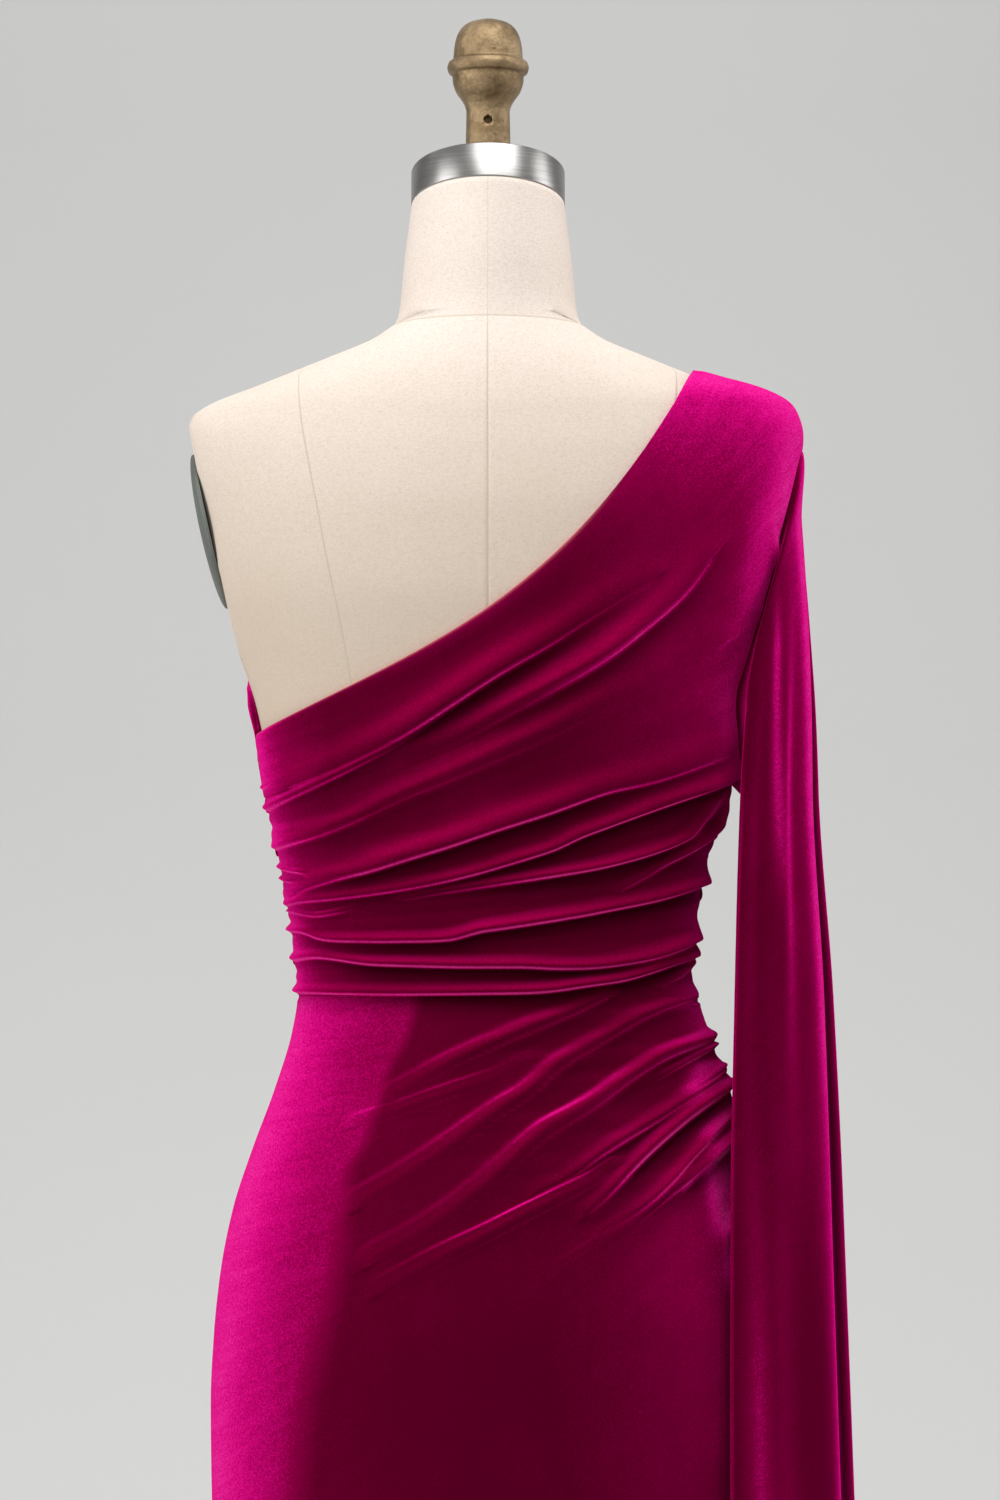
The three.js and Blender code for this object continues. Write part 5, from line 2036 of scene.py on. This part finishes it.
@dataclass
class NeckCap:
    """The brushed ring and lid on the neck, with the cast knob that stands on it."""

    finishes: Finishes
    base: NeckRow = DressForm.NECK[-1]
    radius: float = 49
    height: float = 23.5
    pin_z: float = 1615.9
    pin_radius: float = 2.8
    pin_deep: float = 9

    KNOB = (
        (14.2, 1604.6), (13.8, 1622.6), (14.4, 1625.8), (16.6, 1630.3), (20.6, 1636.1), (22.6, 1642.6),
        (22.8, 1646.4), (25, 1648), (26, 1651.6), (25, 1654.8), (22.4, 1656.7), (21.6, 1664.4),
        (20.2, 1670.9), (17.6, 1676), (13, 1679.9), (6, 1682.2),
    )

    def tipped(self) -> Matrix:
        """Returns the place of the cap's own axis, in millimetres."""
        lean = math.radians(self.base.tip)
        return Matrix.Translation((0, self.base.forward, self.base.z)) @ Matrix.Rotation(-lean, 4, "X")

    def build(self) -> None:
        """Makes and dresses the cap and the knob."""
        r, h, gap = self.radius, self.height, CLOTH.seam
        profile = [(0, gap), (r - 0.8, gap), (r, gap + 0.8), (r, h - 0.9), (r - 0.3, h - 0.3),
                   (r - 0.9, h), (0, h)]
        cap = MeshBuilder.turned("neck_cap_ring", profile, 128, self.tipped())
        dress(cap, "neck_cap", "cap_metal", self.finishes.steel)
        dress(self.knob(), "finial", "bronze", self.finishes.bronze)

    def knob(self) -> bpy.types.Object:
        """Makes the cast knob with its pin hole.

        Returns:
            The knob.
        """
        heights = np.linspace(0, len(self.KNOB) - 1, 90)
        run = np.arange(len(self.KNOB))
        radius, height = (Curve(run, column)(heights) for column in zip(*self.KNOB))
        foot = [(0, self.base.z), (radius[0], self.base.z)]
        profile = [*foot, *zip(radius, height), (0, height[-1] + 0.3)]
        place = Matrix.Translation((0, self.base.forward, 0))
        knob = MeshBuilder.turned("finial_knob", profile, 96, place)
        self.cut(knob, self.seat())
        self.cut(knob, self.drill())
        return knob

    def seat(self) -> bpy.types.Object:
        """Makes the block under the knob that its foot is cut to.

        Returns:
            The block.
        """
        bm = bmesh.new()
        bmesh.ops.create_cube(bm, size=1)
        place = self.tipped() @ Matrix.Translation((0, 0, self.height + CLOTH.seam - 50))
        bmesh.ops.transform(bm, matrix=Matrix.Scale(MM, 4) @ place @ Matrix.Scale(100, 4), verts=bm.verts)
        return MeshBuilder.finished("seat_block", bm)

    def drill(self) -> bpy.types.Object:
        """Makes the drill for the pin hole.

        Returns:
            The drill.
        """
        bm = bmesh.new()
        length = 2 * (self.pin_deep + self.pin_radius)
        front = self.base.forward - self.KNOB[0][0] + self.pin_deep - length / 2
        bmesh.ops.create_cone(bm, cap_ends=True, segments=32, radius1=self.pin_radius,
                              radius2=self.pin_radius, depth=length)
        place = Matrix.Translation((0, front, self.pin_z)) @ Matrix.Rotation(math.pi / 2, 4, "X")
        bmesh.ops.transform(bm, matrix=Matrix.Scale(MM, 4) @ place, verts=bm.verts)
        return MeshBuilder.finished("pin_drill", bm)

    def cut(self, piece: bpy.types.Object, tool: bpy.types.Object) -> None:
        """Cuts a tool out of a piece and removes the tool.

        Args:
            piece: what is cut.
            tool: what it is cut with.
        """
        modifier = piece.modifiers.new("cut", "BOOLEAN")
        modifier.operation = "DIFFERENCE"
        modifier.object = tool
        MeshBuilder.applied(piece)
        bpy.data.objects.remove(tool)


@dataclass
class ArmPlates:
    """The two shallow oval plates that close the form at its armholes."""

    finishes: Finishes
    seat: PlateSeat = PlateSeat()
    tall: float = 50
    wide: float = 37
    dome: float = 7
    rim: float = 1.2

    def build(self) -> None:
        """Makes and dresses both plates."""
        angles = np.linspace(0, math.pi / 2, 16)[:-1]
        dome = [(math.cos(angle), mix(self.rim, self.dome, math.sin(angle))) for angle in angles]
        profile = [(0, 0), (1, 0), *dome, (0, self.dome)]
        for name, hand in (("left", -1), ("right", 1)):
            turn = Matrix.Rotation(hand * (math.pi / 2 + math.radians(self.seat.lean)), 4, "Y")
            place = Matrix.Translation((hand * self.seat.x, 0, self.seat.z)) @ turn
            oval = Matrix.Translation((0, 0, CLOTH.seam)) @ Matrix.Diagonal((self.tall, self.wide, 1, 1))
            piece = MeshBuilder.turned(f"armhole_plate_{name}", profile, 72, place @ oval)
            dress(piece, f"arm_plate_{name}", "plate", self.finishes.plate)


@dataclass
class Stand:
    """The plain pole and its round cast base."""

    finishes: Finishes
    pole_radius: float = 16
    pole_top: float = 770
    pole_edge: float = 0.6

    BASE = (
        (0, 0), (186, 0), (190, 4), (190, 9), (184, 13), (70, 23), (38, 33), (30, 55), (27, 58), (0, 58),
    )

    def build(self) -> None:
        """Makes and dresses the pole and base."""
        bottom, top = self.BASE[-1][1] + CLOTH.seam, self.pole_top - CLOTH.seam
        r, edge = self.pole_radius, self.pole_edge
        tube = [(0, bottom), (r - edge, bottom), (r, bottom + edge), (r, top - edge), (r - edge, top),
                (0, top)]
        pole = MeshBuilder.turned("pole_tube", tube, 64)
        dress(pole, "stand_pole", "iron", self.finishes.pole)
        base = MeshBuilder.turned("round_base", self.BASE, 128)
        bevel = base.modifiers.new("soft edges", "BEVEL")
        bevel.width = 0.8 * MM
        bevel.segments = 2
        bevel.limit_method = "ANGLE"
        MeshBuilder.applied(base)
        dress(base, "stand_base", "iron", self.finishes.iron)


@dataclass(frozen=True)
class SoftBox:
    """One soft light: where it stands, what it points at, its size and its power."""

    name: str
    place: tuple[float, float, float]
    target: tuple[float, float, float]
    size: tuple[float, float]
    watts: float


@dataclass
class Studio:
    """The pale floor and wall, the soft lights and the camera."""

    finishes: Finishes
    eye: tuple[float, float, float] = (0.0076, -3.0, 1.058)
    pitch: float = 3.005
    lens: float = 114.3
    world: float = 0.32
    reach: float = 6.0
    wall: float = 2.4
    cove: float = 1.4

    LIGHTS = (
        SoftBox("left_softbox", (-2.3, -0.9, 1.9), (0, 0, 1.15), (1.4, 2.4), 40),
        SoftBox("top_softbox", (0.3, -0.9, 3.0), (0, 0, 1.3), (1.6, 1.2), 29),
        SoftBox("right_softbox", (2.1, 0.3, 2.0), (0, 0, 1.2), (0.9, 2.0), 15),
        SoftBox("front_fill", (0.0, -4.0, 1.7), (0, 0, 1.3), (0.8, 1.6), 12),
        SoftBox("wall_light", (0.0, 1.2, 3.4), (0, 3.6, 1.2), (4.0, 1.0), 56),
    )

    def build(self) -> None:
        """Makes the floor, wall, lights and camera."""
        self.floor()
        self.sky()
        for light in self.LIGHTS:
            self.light(light)
        self.camera()

    def floor(self) -> None:
        """Makes the floor, which curves up into a wall behind the part."""
        bm = bmesh.new()
        bend = [(self.wall + self.cove * math.sin(angle), self.cove - self.cove * math.cos(angle))
                for angle in np.linspace(0.1, math.pi / 2, 12)]
        run = [(-self.reach, 0.0), (self.wall, 0.0), *bend, (self.wall + self.cove, self.reach)]
        verts = [bm.verts.new((-self.reach, y, z)) for y, z in run]
        edges = [bm.edges.new(pair) for pair in zip(verts[:-1], verts[1:])]
        made = bmesh.ops.extrude_edge_only(bm, edges=edges)
        moved = [item for item in made["geom"] if isinstance(item, bmesh.types.BMVert)]
        bmesh.ops.translate(bm, verts=moved, vec=(2 * self.reach, 0, 0))
        bm.normal_update()
        bm.faces.ensure_lookup_table()
        if bm.faces[0].normal.z < 0:
            bmesh.ops.reverse_faces(bm, faces=bm.faces)
        for face in bm.faces:
            face.smooth = True
        floor = MeshBuilder.finished("studio_floor", bm)
        floor.data.materials.append(FloorPaint().material())

    def sky(self) -> None:
        """Sets the even light that comes from all round."""
        world = bpy.data.worlds.new("studio_air")
        world.use_nodes = True
        world.node_tree.nodes["Background"].inputs["Color"].default_value = (1, 1, 1, 1)
        world.node_tree.nodes["Background"].inputs["Strength"].default_value = self.world
        bpy.context.scene.world = world
        bpy.context.scene.view_settings.view_transform = "Standard"

    def light(self, box: SoftBox) -> None:
        """Makes one soft light.

        Args:
            box: its place, aim, size and power.
        """
        data = bpy.data.lights.new(box.name, "AREA")
        data.shape = "RECTANGLE"
        data.size, data.size_y = box.size
        data.energy = box.watts
        lamp = bpy.data.objects.new(box.name, data)
        lamp.visible_camera = False
        lamp.location = box.place
        aim = Vector(box.target) - Vector(box.place)
        lamp.rotation_euler = aim.to_track_quat("-Z", "Y").to_euler()
        bpy.context.scene.collection.objects.link(lamp)

    def camera(self) -> None:
        """Makes the camera where the photograph was taken from."""
        data = bpy.data.cameras.new("camera")
        data.lens = self.lens
        data.sensor_width = 36
        data.clip_end = 60
        camera = bpy.data.objects.new("camera", data)
        camera.location = self.eye
        camera.rotation_euler = (math.radians(90 + self.pitch), 0, 0)
        bpy.context.scene.collection.objects.link(camera)
        bpy.context.scene.camera = camera


def main() -> None:
    """Builds the studio and every piece, in order."""
    logging.basicConfig(level=logging.INFO, format="%(name)s: %(message)s")
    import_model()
    finishes = Finishes()
    Studio(finishes).build()
    figure = Figure()
    bodice = Bodice(figure, finishes)
    DressForm(figure, finishes).build()
    bodice.build()
    Skirt(figure, finishes).build()
    Sleeve(figure, bodice, finishes).build()
    NeckCap(finishes).build()
    ArmPlates(finishes).build()
    Stand(finishes).build()


if __name__ == "__main__":
    main()
